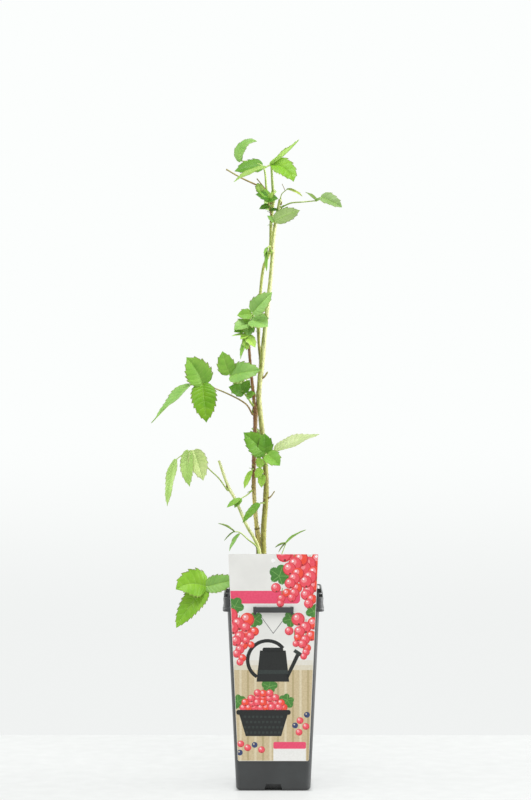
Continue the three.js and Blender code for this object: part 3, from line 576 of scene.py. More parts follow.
def bristleTree():
    graph, given = newTree("bristles", Density="Float", Length="Float", Thick="Float", Seed="Int",
                           Material="Material")
    spots = graph.add("DistributePointsOnFaces", {
        "Mesh": given["Geometry"], "Seed": given["Seed"],
        "Density": graph.math("MULTIPLY", graph.attribute("bristly"), given["Density"])})
    spine = graph.add("MeshCone", {
        "Vertices": limbRule["bristleSides"], "Radius Top": 0.0, "Radius Bottom": given["Thick"],
        "Depth": given["Length"]})
    low, high = limbRule["bristleSize"]
    size = graph.random("FLOAT", {2: low, 3: high, "Seed": given["Seed"]}, 1)
    real = graph.scatter(spots, spine, spots.node.outputs["Rotation"], size)
    return endTree(graph, graph.paint(real, given["Material"]))


def barkOf(name, tones):
    # the tones of painted shade and of painted light both change towards the tip
    rule = limbRule
    material, graph, shader, where = newMaterial(name, rule["gloss"], rule["grain"])
    paintedLitSide, along = (graph.add("Attribute", output="Fac", attribute_name=label)
                      for label in ("paintedLitSide", "along"))
    stretched = graph.add("Mapping", {"Vector": where, "Scale": rule["stretch"]})
    streaks = graph.math("ADD", graph.noise(rule["streakScale"], 4.0, Vector=stretched), -0.5)
    # painted light: paler on the side that faces the light, and painted shade on the far side
    lit = graph.span(graph.math("MULTIPLY_ADD", streaks, rule["streaks"], paintedLitSide), *rule["lit"])
    low, high = (graph.mix(lit, *map(tone, tones[end].split())) for end in ("low", "high"))
    body = graph.mix(graph.span(along, *tones["turn"]), low, high)
    start, end = (level - tones["flecks"] / 3 for level in rule["fleckSpan"])
    fleck = graph.span(graph.noise(rule["fleckScale"], 2.0, Vector=stretched), start, end)
    graph.feed(graph.mix(fleck, body, tone(tones["fleck"])), shader["Base Color"])
    return material


limbs = limbTree()
bristles = bristleTree()


def growLimbs(name, strands, look, nodes=()):
    # the limbs with their bark, and their bristles or hairs as a piece of their own
    piece, coat, hairs = strandsPiece(name, strands), None, look.get("hairs")
    runTree(piece, limbs, {
        "Sides": look["sides"], "Relief": look["relief"] * mm, "Relief scale": look["reliefScale"],
        "Material": barkOf(name + "Skin", look["tones"])})
    if hairs:
        piece.data.set_sharp_from_angle(angle=radians(look["sharpAt"]))
        coat = linkPiece(hairs["name"], piece.data.copy())
        coat.data.materials.clear()
        runTree(coat, bristles, {
            "Density": hairs["density"], "Length": hairs["long"] * mm, "Thick": hairs["thick"] * mm,
            "Seed": hairs["seed"],
            "Material": patchy(hairs["name"] + "Tone", hairs["codes"], *limbRule["bristleLook"])})
    settle(piece, nodes)
    if coat:
        settle(coat)


# Canes: bends as (x, y, height), thickness at foot and tip, and swellings as (height, extra, reach).
# `bristly` gives the share of bristles at heights in between. Tones are painted shade and painted light, for
# the far side and the side that faces the light, low and high on the cane, and `turn` is where the low ones
# give way.
gap = 0.3
soilRise = soil["top"] + gap
canes = {
    "main": {
        "thick": (6.1, 3.7), "sides": 26,
        "bends": [(-8, -5, soilRise), (-10, -4.5, 239), (-10, -4, 264), (-7.4, -4, 304), (-9.2, -4, 341),
                  (-13.6, -4, 385), (-14.6, -3.5, 406), (-11.5, -3, 437), (-9.1, -3, 463), (-4, -3, 509),
                  (-1.4, -3, 538), (0.9, -3, 569), (7.1, -4, 602)],
        "swells": [(299, 0.5, 4), (421, 0.7, 5), (441, 0.9, 20), (508, 0.4, 5), (549, 0.5, 4)],
        "bristly": [(182, 0.6), (330, 1), (400, 0.25), (470, 0.12), (602, 0.08)],
        "bristleCodes": "6b3418 8f5526 a9803c",
        "tones": {"low": "757528 aeac52", "high": "94a23e e6ecae", "fleck": "5a3016", "flecks": 0.3,
                  "turn": (0.3, 0.75)},
    },
    "brown": {
        "thick": (5.2, 2.7), "sides": 24,
        "bends": [(-6.5, 4, soilRise), (-11.7, 1.5, 239), (-17, 0, 266), (-19.8, -1, 300), (-20.2, -1, 332),
                  (-19, -1, 372), (-20.2, -1.5, 399), (-23, -2, 425), (-26, -2, 463)],
        "swells": [(264, 0.5, 2.5), (305, 0.4, 4), (325, 0.3, 3), (386, 0.7, 5)],
        "bristly": [(182, 0.5), (280, 1), (320, 2), (440, 2), (463, 1)],
        "bristleCodes": "3a170b 5a2a14 7a4524",
        "tones": {"low": "c2b65a dfd58c", "high": "6b3d20 a87c4c", "fleck": "4a2412", "flecks": 0.26,
                  "turn": (0.4, 0.49)},
    },
    "middle": {
        "thick": (3.5, 3), "sides": 20,
        "bends": [(-14, 10, soilRise), (-16, 8, 239), (-19.5, 7, 300), (-18.7, 6.5, 360), (-15.5, 5, 406),
                  (-13.3, 4.5, 435), (-15.2, 4, 462), (-13.4, 3, 505), (-10, 3, 533), (-3.6, 2, 550),
                  (-2.3, 2, 580), (0, 2, 601)],
        "swells": [(342, 0.4, 4), (400, 0.4, 4), (465, 0.4, 4), (576, 0.4, 4), (590, 0.4, 6)],
        "bristly": [(182, 0.3), (300, 0.6), (500, 0.5), (601, 0.1)],
        "bristleCodes": "4a2a14 6d4522 8a6534",
        "tones": {"low": "6b4a28 a98a52", "high": "8b9a3c c6cf74", "fleck": "3a1c0e", "flecks": 0.28,
                  "turn": (0.5, 0.72)},
    },
    "young": {
        "thick": (4, 2.8), "sides": 18,
        "bends": [(-13, -11, soilRise), (-14, -9, 239), (-28, -7, 269), (-38.5, -4, 293), (-47, -2, 309),
                  (-56, 0, 334)],
        "swells": [(233, 0.5, 4), (304, 0.5, 4)],
        "bristly": [(182, 0.5), (300, 0.3), (334, 0.1)],
        "bristleCodes": "8f9a3a a9b24a c2c565",
        "tones": {"low": "a2aa40 d4da78", "high": "bccb6c e8edb6", "fleck": "7a6a2a", "flecks": 0.18,
                  "turn": (0.2, 0.6)},
    },
}
caneRule = {"step": 1.1, "uneven": 0.12, "unevenScale": 0.11, "relief": 0.55, "reliefScale": 420.0,
            "sharpAt": 55, "hairs": {"density": 190000.0, "long": 1.0, "thick": 0.17}}


def readAt(pairs, height):
    for (low, first), (high, second) in zip(pairs, pairs[1:]):
        if height <= high:
            return first + (second - first) * max(height - low, 0) / (high - low)
    return pairs[-1][1]


def caneStrand(cane):
    path = cane["path"]
    count = round(path.length / caneRule["step"])
    strand = []
    for i in range(count + 1):
        point = path.at(i / count)
        radius = between(cane["thick"], i / count) / 2
        for height, extra, reach in cane["swells"]:
            radius += extra / 2 * exp(-((point.z - height) / reach) ** 2)
        bump = noise.noise(Vector((point.z * caneRule["unevenScale"], cane["thick"][0], 0)))
        strand.append((point, radius + caneRule["uneven"] * bump, readAt(cane["bristly"], point.z)))
    return strand


for key, cane in canes.items():
    node = "cane_" + key
    cane["path"] = Path(cane["bends"])
    hairs = {**caneRule["hairs"], "name": node + "_bristles", "seed": len(key), "codes": cane["bristleCodes"]}
    growLimbs(node + "_bark", [caneStrand(cane)], {**caneRule, **cane, "hairs": hairs}, [node])


# The rule for leaves, as on the solids, with finer teeth, side veins and quilting.
leafRule = {
    "blunt": 0.44, "sharp": 0.85, "neck": 0.35, "wide": 0.68, "root": 0.5, "stalk": 0.8,
    "plain": {"on": 1, "stem": 0, "sweep": 0, "curl": 22, "fold": 14, "twist": 0, "drawn": 0.5,
              "drawnFrom": 0.11},
    "vary": {"curl": 6, "fold": 4, "twist": 10},
    "three": {"spread": 66, "vary": 9, "side": 0.84, "stem": 0.24},
    "stations": 32, "toothPitch": 4.7, "teeth": (3, 11),
    "margin": ((0.14, 0.9), (0.38, 0.99), (0.5, 0.955), (0.8, 1.03)), "tooth": 1.07, "lean": 0.24,
    "outward": 1.25, "inward": 1.5, "lobes": 0.035, "lobeReach": 0.05, "thick": (0.44, 0.14),
    "ridge": 0.5, "ridgeShares": ((1, 0.35), (-1, 1)), "veinHalf": 0.16, "veinSpread": 0.3, "groove": 0.12,
    "midrib": 0.34, "midribWidest": 0.22, "taper": 0.6, "cup": 1.12, "flatter": 0.3, "pucker": 0.28,
    "puckerRound": 0.8, "wave": 0.7, "waves": 11, "waveFrom": 6, "fullSize": (35, 1.2), "sharpAt": 70,
    "columns": (0, None, 0.3, 0.55, 0.78, 0.93, 1),  # from midrib to margin, None at the midrib's edge
}
widest = leafRule["blunt"] / (leafRule["blunt"] + leafRule["sharp"])


def swell(u):
    return u ** leafRule["blunt"] * (1 - u) ** leafRule["sharp"]


def outlineAt(u, leaf):
    inside = min(max(u, 0), 1)
    drawn = leaf["drawn"] * exp(-((1 - inside) / leaf["drawnFrom"]) ** 2)
    return swell(inside) / swell(widest) * (1 - drawn)


def directionOf(heading, toward):
    flat = cos(radians(toward))
    return Vector((flat * cos(radians(heading)), -sin(radians(toward)), flat * sin(radians(heading))))


def squareTo(upper, forward):
    return (upper - forward * upper.dot(forward)).normalized()


def upperSide(face, forward):
    right, front, up = face
    return squareTo(Vector((right, -front, up)), forward)


def frameAt(leaf, u):
    forward, upper = leaf["forward"], leaf["upper"]
    droop = Quaternion(forward.cross(upper), -radians(leaf["curl"]) * (u - 0.5))
    ahead = Quaternion(upper, radians(leaf["sweep"]) * (u - 0.5)) @ (droop @ forward)
    up = squareTo(Quaternion(ahead, radians(leaf["twist"]) * u) @ (droop @ upper), ahead)
    return ahead, up, ahead.cross(up)


def midribOf(base, leaf):
    count = leafRule["stations"]
    stations, point = [], base.copy()
    for i in range(count + 1):
        stations.append((point.copy(), *frameAt(leaf, i / count)))
        point += frameAt(leaf, (i + 0.5) / count)[0] * (leaf["long"] / count)
    return stations


def stationAt(stations, share, long):
    count = len(stations) - 1
    inside = min(max(share, 0), 1)
    low = min(int(inside * count), count - 1)
    part = inside * count - low
    centre, ahead, up, right = (a.lerp(b, part) for a, b in zip(stations[low], stations[low + 1]))
    return centre + ahead * (share - inside) * long, up, right


def marginRows(teeth):
    # (share of the margin, share of the width, forward lean, which side of a vein's strip) from base to tip
    rows = []
    for cell in range(teeth):
        rows += [((cell + part) / teeth, width, 0, 0) for part, width in leafRule["margin"]]
        if cell < teeth - 1:
            rows += [((cell + 1) / teeth, leafRule["tooth"], leafRule["lean"], side) for side in (-1, 1)]
    return rows


class Foliage:
    # gathers blades of one slot, with a plain tone for the top of each spray's leaves
    def __init__(self):
        self.points, self.faces, self.marks, self.looks = [], [], [], []

    def lookOf(self, name):
        if name not in self.looks:
            self.looks.append(name)
        return self.looks.index(name)

    def addPoint(self, place):
        self.points.append(tuple(place))
        return len(self.points) - 1

    def addBlade(self, base, leaf, tint):
        rule, deal, long, fold = leafRule, leaf["deal"], leaf["long"], radians(leaf["fold"])
        teeth = min(max(round(long / rule["toothPitch"]), rule["teeth"][0]), rule["teeth"][1])
        size = min(long / rule["fullSize"][0], rule["fullSize"][1])
        phases = (2 * pi * deal(), 2 * pi * deal())
        last = len(rule["columns"]) - 1
        stations = midribOf(base, leaf)
        start = self.addPoint(stations[0][0])
        rings = []
        for margin, width, lean, strip in marginRows(teeth):
            edge = margin ** rule["outward"]
            slim = 1 - rule["taper"] * edge
            vein = strip * rule["veinHalf"] / long
            inner = edge ** rule["inward"] + vein
            outer = edge + rule["veinSpread"] * vein - rule["lobes"] * exp(-edge / rule["lobeReach"])
            half = max(rule["neck"], leaf["wide"] / 2 * outlineAt(edge, leaf) * width)
            middle = min(rule["midrib"] * slim / half, rule["midribWidest"])
            ring = {}
            for hand, phase in zip((-1, 1), phases):
                for column, share in enumerate(rule["columns"]):
                    s = middle if share is None else share
                    along = inner + (outer - inner) * s ** rule["outward"] + lean / teeth * s ** 4
                    centre, up, right = stationAt(stations, along, long)
                    bent = s * half * sin(fold) * (rule["cup"] - rule["flatter"] * s)
                    quilt = 0 if strip else rule["pucker"] * size * sin(pi * s) ** rule["puckerRound"]
                    wave = rule["wave"] * size * s * s * sin(phase + rule["waves"] * edge)
                    lift = bent + quilt + wave * min(1, half / rule["waveFrom"])
                    place = centre + right * (hand * s * half * cos(fold)) + up * lift
                    if column == last:
                        ring[hand, column, 1] = ring[hand, column, -1] = self.addPoint(place)
                        continue
                    ridge = rule["ridge"] * slim * size * max(1 - s / middle, 0)
                    groove = rule["groove"] * size if strip and s > middle else 0
                    for layer, share in rule["ridgeShares"]:
                        if column == 0 and hand == 1:
                            ring[1, 0, layer] = ring[-1, 0, layer]
                            continue
                        rise = layer * between(rule["thick"], s) / 2 - share * ridge - groove
                        ring[hand, column, layer] = self.addPoint(place + up * rise)
            rings.append((ring, strip))
        tip = self.addPoint(stations[-1][0])
        (first, _), (end, _) = rings[0], rings[-1]
        upper, under, vein, rim = (self.lookOf(name) for name in (tint, *tints[tint][1:]))
        for hand, layer, column in ((h, l, c) for h in (-1, 1) for l in (1, -1) for c in range(last)):
            here, there = (hand, column, layer), (hand, column + 1, layer)
            side = rim if column == last - 1 else vein if column == 0 else upper if layer > 0 else under
            cells = [((start, first[there], first[here]), side)]
            for (ring, strip), (after, afterStrip) in zip(rings, rings[1:]):
                onVein = strip == -1 and afterStrip == 1 and column < last - 1
                cells.append(((ring[here], ring[there], after[there], after[here]), vein if onVein else side))
            cells.append(((end[here], end[there], tip), side))
            self.faces += [face[::-1] if hand * layer < 0 else face for face, _ in cells]
            self.marks += [look for _, look in cells]


def grownLeaflet(spec, deal):
    leaf = {**leafRule["plain"], **spec}
    for trait, spread in leafRule["vary"].items():
        leaf[trait] += spread * (2 * deal() - 1)
    leaf["wide"] = leaf.get("wide") or leafRule["wide"] * leaf["long"]
    leaf["forward"] = leaf.get("forward") or directionOf(leaf["heading"], leaf["toward"])
    leaf["upper"] = upperSide(leaf["face"], leaf["forward"])
    return leaf


def leafOfThree(spec, deal):
    rule, face, long = leafRule["three"], spec["face"], spec["long"]
    forward = directionOf(spec["heading"], spec["toward"])
    upper = upperSide(face, forward)
    leaflets = []
    for hand in (-1, 1):
        spread = rule["spread"] + rule["vary"] * (2 * deal() - 1)
        leaflets.append({"forward": Quaternion(upper, hand * radians(spread)) @ forward, "face": face,
                         "long": rule["side"] * long})
    return [*leaflets, {"forward": forward, "face": face, "long": long, "stem": rule["stem"] * long}]


# Plain tones of the sprays: the upper side, then the looks of its paler underside, its veins and its rim.
tints = {
    "sunny": ("77ad27 89bb30", "underSunny", "veinFresh", "rimOlive"),
    "vivid": ("659d12 77a91d", "underFresh", "veinFresh", "rimOlive"),
    "fresh": ("73a937 88b846", "underFresh", "veinFresh", "rimOlive"),
    "deep": ("558c1d 679927", "underFresh", "veinDeep", "rimDark"),
    "shaded": ("437b1d 598926", "underFresh", "veinDeep", "rimDark"),
    "bluish": ("7bad50 8fba60", "underFresh", "veinFresh", "rimOlive"),
    "misty": ("84b458 98c46a", "underMisty", "veinFresh", "rimOlive"),
    "soft": ("8bb04a 9fc05e", "underFresh", "veinLime", "rimOlive"),
    "dull": ("7b9c57 8dac68", "underMisty", "veinFresh", "rimOlive"),
    "olive": ("6a8438 81994b", "underOlive", "veinDeep", "rimDark"),
    "spray": ("97ad40 adbd52", "underLime", "veinLime", "rimPale"),
    "lime": ("9bca48 add65c", "underLime", "veinLime", "rimPale"),
    "milky": ("a6ce6a b8d97e", "underLime", "veinPale", "rimPale"),
    "pale": ("c4dc88 d6e79d", "underLime", "veinPale", "rimPale"),
    "faded": ("b4c788 c6d49d", "underLime", "veinPale", "rimPale"),
}
leafSides = {
    "underSunny": "9dc756 aed26c", "underFresh": "90b456 a4c36b", "underOlive": "8a9a58 9cab6a",
    "underMisty": "a8ca76 b9d688", "underLime": "b4cf74 c2db88", "veinFresh": "8cb84a 9bc45a",
    "veinDeep": "71a43c 80b04a", "veinLime": "a9d25c b8dc70", "veinPale": "b8d680 c6df92",
    "rimOlive": "6f7f33 84923f", "rimDark": "4c6424 62762e", "rimPale": "a3ad68 b7bf7e",
}


def stalk(via, thick, blades=(), **more):
    return {"via": via, "thick": thick, "blades": blades, **more}


def shoot(cane, start, seed, tint, via, thick, blades=(), more=(), **extra):
    return {"cane": cane, "start": start, "seed": seed, "tint": tint,
            "stalks": [stalk(via, thick, blades, **extra), *more]}


def blade(heading, toward, long, wide, face, **more):
    return {"heading": heading, "toward": toward, "long": long, "wide": wide, "face": face, **more}


def backShoot(cane, start, seed, tint, via, thick, heading, toward, long, face):
    return shoot(cane, start, seed, tint, via, thick, leaf=blade(heading, toward, long, None, face))


# Shoots: the cane and the height where it leaves it, or its tip, a seed, a tint, then the points that its
# stalk runs through and its thickness at foot and end. Further stalks start where they `leave` the first.
# A blade has its heading in the front view, how far it tips to the front, its length and width, and where
# its upper side faces: right, front, up. Stalks that the sun has browned are `flushed`.
tip = "tip"
shoots = {
    "leaves_crown_right": shoot("middle", tip, 11, "sunny", [(-1, -5, 619), (-2, -10, 637)], (3.2, 2.3), [
        blade(321, 16, 33, 22, (0.2, 1, 0.6), sweep=-74, curl=20),
        blade(43, -9, 40, 15, (-0.72, 0.2, 0.7), curl=-14, fold=38),
        blade(206, 18, 39, 11, (0.05, 0.4, 1), stem=7, curl=22, tint="soft"),
    ]),
    "leaves_crown_left": shoot("middle", 595, 12, "fresh", [
        (-7, 5, 612), (-10, 8, 635), (-22, 13, 641), (-33.5, 14, 643)], (3, 1.2), [
        blade(50, -4, 34, 12, (-0.38, 0.82, 0.3), sweep=-128, curl=46, fold=6, drawn=0, tint="bluish"),
        blade(191, 4, 30, 25, (0, 0.9, 1), on=0.66, fold=8, drawn=0.2, tint="deep"),
    ], [
        stalk([(-17, 1, 617), (-33, -5, 624), (-48, -13, 632)], (1.9, 1.5), leave=0.3, flushed=True),
        stalk([(-17, 6, 624)], (1.4, 1.1), leave=0.28, flushed=True),
    ]),
    "leaves_under_crown": shoot("middle", 588, 13, "shaded", [(-5, -6, 597), (-4.5, -9, 603)], (1.6, 1.2), [
        blade(166, 22, 16, 11, (-0.2, 1, 0.6)),
        blade(140, 6, 20, 10, (0, 1, 0.6), tint="fresh"),
        blade(4, 30, 12, 10, (0.2, 1, 0.5), on=0.9),
        blade(352, 30, 12, 6, (0, 0.8, 0.8), on=0.3),
        blade(200, 20, 12, 7, (-0.1, 1, 0.5), on=0.55),
        blade(98, 8, 13, 9, (-0.1, 1, 0.4), on=0.8, tint="fresh"),
        blade(60, 20, 9, 6, (0.2, 1, 0.4), on=0.95, tint="lime"),
        blade(112, 10, 10, 9, (0, 1, 0.4), stem=11, stemHeading=142, drawn=0, tint="soft"),
    ], flushed=True),
    "leaf_top_right": shoot("main", 594, 14, "dull", [
        (18, -8, 598), (32, -12, 599), (44, -14, 600)], (1.6, 1.2), [
        blade(142, -14, 16, 8, (0.5, 0.5, 0.8), tint="olive"),
        blade(20, 40, 8, 5, (0, 0.8, 0.6)),
        blade(333, 14, 25, 17, (0.1, 0.85, 0.6), stem=6, stemHeading=36, sweep=-8, curl=10, fold=24, drawn=0),
    ]),
    "leaf_top_spray": shoot("main", tip, 15, "spray", [(9, -5, 608), (14, -8, 612)], (1.2, 0.7), [
        blade(334, 13, 19, 8, (0.2, 0.4, 1)),
    ], [stalk([(9, -9, 617.5)], (0.7, 0.6), leave=0.8, flushed=True)]),
    "leaf_top_under": shoot("middle", 576, 16, "misty", [(-3, -5, 577.5), (0.3, -7.5, 579)], (1.5, 1.2), [
        blade(22, 22, 30, 17, (-0.2, -1, 0.5), stem=2, sweep=12, curl=12, fold=8),
        blade(138, 12, 10, 6, (0, 1, 0.6)),
    ]),
    "leaf_upper_curl": shoot("main", 549, 17, "fresh", [(-3.4, -8, 554), (-6.2, -9.5, 552)], (2, 1.6), [
        blade(248, 8, 9, 6, (-0.8, 0.6, 0.3)),
        blade(268, 6, 25, 9, (-0.8, 0.5, 0.3), curl=-20, fold=34),
    ]),
    "leaves_middle": shoot("brown", tip, 18, "misty", [(-25, -5, 473), (-23, -8, 484)], (2, 1.3), [
        blade(46, 14, 30, 20, (0, 1, 0.4), stem=3, curl=24, drawn=0.3),
        blade(184, 4, 15, 13, (-0.3, 1, 0.4), tint="fresh"),
        blade(338, 22, 20, 26, (0.3, 0.9, 0.9), on=0.72, stem=2, stemHeading=0),
        blade(262, 26, 16, 14, (0.2, 1, 0.8), on=0.55),
        blade(206, 30, 21, 17, (0.1, 0.9, 1), on=0.6),
        blade(200, 28, 19, 13, (0.1, 1, 0.6), on=0.4, tint="fresh"),
        blade(222, 12, 17, 11, (-0.2, 1, 0.5), on=0.72, tint="fresh"),
    ]),
    "leaves_middle_young": shoot("brown", 450, 19, "lime", [(-27, -7, 455), (-27, -11, 463)], (1.8, 1.3), [
        blade(184, 14, 17, 7, (-0.2, 0.6, 1)),
        blade(214, 36, 11, 7, (-0.2, 1, 0.6)),
        blade(268, 16, 16, 10, (0, 1, 0.2), stem=1),
        blade(306, 26, 17, 11, (0.3, 1, 0.4), on=0.92),
        blade(255, 12, 26, 8, (-0.7, 0.7, 0.2), stem=1, fold=24, curl=8, tint="fresh"),
    ]),
    "leaves_left_pair": shoot("brown", 391, 20, "bluish", [
        (-25, -10, 397), (-31, -14, 405), (-38, -16, 414), (-44.5, -18, 422)], (2.2, 1.1), [
        blade(107, 6, 25, 19, (-0.1, 1, 0.3), tint="fresh", stem=1.5, sweep=-10),
        blade(11, 20, 35, 24, (0.05, 1, 0.5), on=0.97, curl=26),
        blade(160, 22, 18, 14, (-0.1, 1, 0.3), on=0.48, tint="deep"),
        blade(60, 12, 15, 11, (0, 1, 0.4), on=0.5, tint="deep"),
        blade(24, 36, 13, 9, (0, 1, 0.4), on=0.34, tint="fresh"),
    ]),
    "leaf_long_left": shoot("brown", 382, 21, "vivid", [
        (-29, -8, 393), (-49, -16, 404), (-72, -26, 413)], (1.9, 1.3), [
        blade(121, 7, 33, 29, (0.1, 1, 0.25), sweep=22, tint="fresh"),
        blade(276, 12, 41, 27, (0, 1, 0.2), curl=20),
        blade(225, 13, 56, 25, (-0.58, 0.5, 0.7), stem=14, stemHeading=186, curl=8, fold=20, twist=12,
              drawn=0.85, drawnFrom=0.32, tint="bluish"),
    ], flushed=True),
    "leaves_centre": shoot("main", 331, 22, "deep", [(-8, -11, 337), (-8.6, -14, 342.5)], (1.8, 1.3), [
        blade(136, 13, 32, 25, (0, 1, 0.35)),
        blade(91, 4, 21, 17, (0.2, 1, 0.2)),
        blade(320, 24, 19, 19, (0.1, 1, 0.4), stem=3.5, drawn=0.2, tint="fresh"),
    ]),
    "leaves_centre_young": shoot("main", 318, 23, "lime", [(-12, -9, 322), (-12.5, -8.5, 328)], (1.3, 1.1), [
        blade(108, -4, 12, 9, (0, 1, 0.3)),
        blade(236, 10, 12, 9, (0, 1, 0.4), on=0.8),
        blade(268, 4, 14, 9, (0, 1, 0.2), on=0.4, stem=1),
    ]),
    "leaf_right_pale": shoot("main", 337, 24, "pale", [(-3, 5, 341), (3, 9, 344)], (1.5, 1.2), [
        blade(20, -14, 50, 22, (0.1, 0.42, 0.9), curl=16, tint="faded"),
    ]),
    "leaves_left_pale": shoot("young", 304, 25, "lime", [
        (-56, -5, 316), (-68, -8, 328), (-77, -10, 343), (-87, -12, 344), (-95, -13, 339), (-100, -14, 335)],
        (1.5, 0.9), [
        blade(287, 4, 33, 20, (0.3, 1, 0.1), on=0.72, curl=14, tint="pale"),
        blade(272, 12, 38, 15, (-0.2, 1, 0.1), on=0.79, sweep=24, tint="milky"),
        blade(260, 6, 49, 12, (-0.6, 0.8, 0.1), curl=20, tint="milky"),
    ]),
    "leaves_small_left": shoot("brown", 303, 26, "fresh", [(-27, -7, 299), (-35, -10, 294.5)], (1.7, 1.1), [
        blade(213, 4, 16, 8, (-0.2, 0.7, 0.8)),
        blade(236, 10, 12, 8, (-0.2, 0.7, 0.6), on=0.9),
    ]),
    "leaf_narrow_left": shoot("brown", 325, 27, "spray", [(-22.5, -7, 323)], (1.5, 1.2), [
        blade(247, 6, 20, 7, (-0.5, 0.9, 0.2), tint="lime"),
    ]),
    "leaf_low_middle": shoot("main", 291, 28, "deep", [(-10.5, -9, 291), (-15, -11.5, 290)], (1.3, 1), [
        blade(229, 14, 27, 9, (-0.35, 1, 0.3)),
    ]),
    "leaves_low_left": shoot("young", 233, 29, "olive", [
        (-17, -14.5, 246), (-26, -15, 254), (-34, -16, 261), (-40, -17, 262)], (2.3, 1), [
        blade(152, 12, 20, 6, (0.3, 0.2, 1), fold=30),
        blade(222, 17, 15, 4.5, (-0.7, 0.1, 0.7), fold=30),
        blade(240, 6, 21, 8, (-0.8, 0.5, 0.3), on=0.86, stem=2, tint="bluish"),
    ]),
    "leaves_low_right": shoot("main", 205, 30, "olive", [
        (-1, -4, 210), (5, -2, 228), (13, 0, 249)], (1.5, 0.9), [
        blade(33, -9, 26, 6, (-0.35, 0.2, 1), fold=30, tint="fresh"),
        blade(200, 23, 14, 5, (-0.2, 0.3, 1), fold=30),
        blade(230, 12, 13, 4, (-0.7, 0.2, 0.6), fold=30),
    ]),
    "leaves_pot_side": shoot("young", 193, 31, "sunny", [
        (-22, -20, 199), (-42, -33, 206.5), (-57, -37, 209), (-68.6, -38, 207.4)], (2, 1.3), [
        blade(183, 20, 34, 31, (0, 1, 0.35), sweep=56, drawn=0.3),
        blade(234, 12, 52, 23, (0, 1, 0.4), sweep=14, curl=14, fold=5, drawn=0.15),
        blade(14, 7, 36, 19, (0.1, 1, 0.35), curl=8, tint="bluish"),
    ]),
    "leaves_back_crown": backShoot("middle", 592, 41, "deep", [(-2, 16, 604), (-3, 34, 608)], (1.7, 1.2),
                                   265, -50, 19, (-0.9, -0.3, 0.4)),
    "leaves_back_middle": backShoot("middle", 465, 42, "deep", [(-18, 18, 476), (-21, 40, 484)], (1.9, 1.3),
                                    262, -52, 30, (-0.95, -0.25, 0.3)),
    "leaves_back_left": backShoot("middle", 400, 43, "deep", [(-22, 16, 407), (-28, 34, 417), (-31, 47, 420)],
                                  (1.9, 1.3), 262, -56, 28, (-0.8, -0.5, 0.4)),
    "leaves_back_centre": backShoot("middle", 342, 44, "deep", [(-17, 18, 350), (-14, 42, 354)], (1.9, 1.3),
                                    275, -56, 28, (0.9, -0.3, 0.35)),
    "leaves_back_low": backShoot("middle", 200, 45, "fresh", [(-20, 24, 208), (-22, 44, 214), (-22, 60, 214)],
                                 (2.2, 1.4), 258, -30, 34, (-0.15, -1, 0.3)),
    "leaves_back_right": backShoot("main", 199, 46, "fresh", [(2, 6, 205), (12, 26, 212), (19, 46, 217)],
                                   (2, 1.3), 300, -42, 30, (0.1, -1, 0.6)),
}
stalkRule = {"step": 0.9, "bristly": 0.3, "collar": (0.5, 1.6), "knee": (0.22, 1.3),  # extra, reach
             "lead": 1.2, "tipLead": 2, "inside": 0.2, "bow": 0.05}
stipule = {"long": 5.5, "wide": 1.3, "spread": 34, "curl": 30, "fold": 20, "foot": 0.02, "along": 0.05,
           "seed": 300}
bud = {"long": 4.2, "above": 2.2, "lean": 0.55, "inset": 0.6, "girths": (0.75, 1.15, 1.2, 1.0, 0.65, 0.12)}

foliage = {"leaf_" + kind: Foliage() for kind in ("bright", "dark", "pale", "young", "mid")}
greenStalks, flushedStalks, budStrands = [], [], []


def caneAt(cane, height):
    low, high = 0.0, 1.0
    while high - low > 1e-5:
        middle = (low + high) / 2
        low, high = (middle, high) if cane["path"].at(middle).z < height else (low, middle)
    return cane["path"].at(low), between(cane["thick"], low) / 2


def stalkStart(cane, start, target):
    if start == tip:
        along = cane["path"].along(1)
        foot = cane["path"].at(1) + along * gap
        lead = stalkRule["tipLead"]
        return [foot, foot + along * lead], foot - along * (gap + lead)
    centre, radius = caneAt(cane, start)
    away = Vector(target) - centre
    away = Vector((away.x, away.y, 0)).normalized()
    foot = centre + away * (radius + gap)
    return [foot, foot + away * stalkRule["lead"]], centre + away * radius * stalkRule["inside"]


def limbStrand(path, thick, before=(), bristly=stalkRule["bristly"]):
    # a stalk swells a little at its end, and also at its foot where it starts from inside a cane
    collar, collarReach = stalkRule["collar"] if before else (0, 1)
    knee, kneeReach = stalkRule["knee"]
    count = max(6, round(path.length / stalkRule["step"]))
    strand = [(Vector(point), (thick[0] + collar) / 2, 0) for point in before]
    for i in range(count + 1):
        share = i / count
        near, far = share * path.length, (1 - share) * path.length
        extra = collar * exp(-(near / collarReach) ** 2) + knee * thick[1] * exp(-(far / kneeReach) ** 2)
        strand.append((path.at(share), (between(thick, share) + extra) / 2, bristly))
    return strand


def growLeaflet(spec, path, thick, deal, look, strands, leaves):
    leaf = grownLeaflet(spec, deal)
    leaf["deal"] = dealerOf(look["seed"] + len(leaves.points))
    root = path.at(leaf["on"])
    end = thick * leafRule["stalk"]
    base = root.copy()
    if leaf["stem"] > 0:
        way = directionOf(leaf["stemHeading"], spec["toward"]) if "stemHeading" in leaf else leaf["forward"]
        base = base + way * leaf["stem"]
        bow = root.lerp(base, 0.5) + upright * (stalkRule["bow"] * leaf["stem"])
        strands.append(limbStrand(Path([root, bow, base]), (end, end * leafRule["stalk"])))
    leaves.addBlade(base - leaf["forward"] * leafRule["root"], leaf, spec.get("tint", look["tint"]))


def growBud(foot, way, size=1.0):
    last = len(bud["girths"]) - 1
    budStrands.append([(foot + way * bud["long"] * size * i / last, girth * size, 0)
                       for i, girth in enumerate(bud["girths"])])


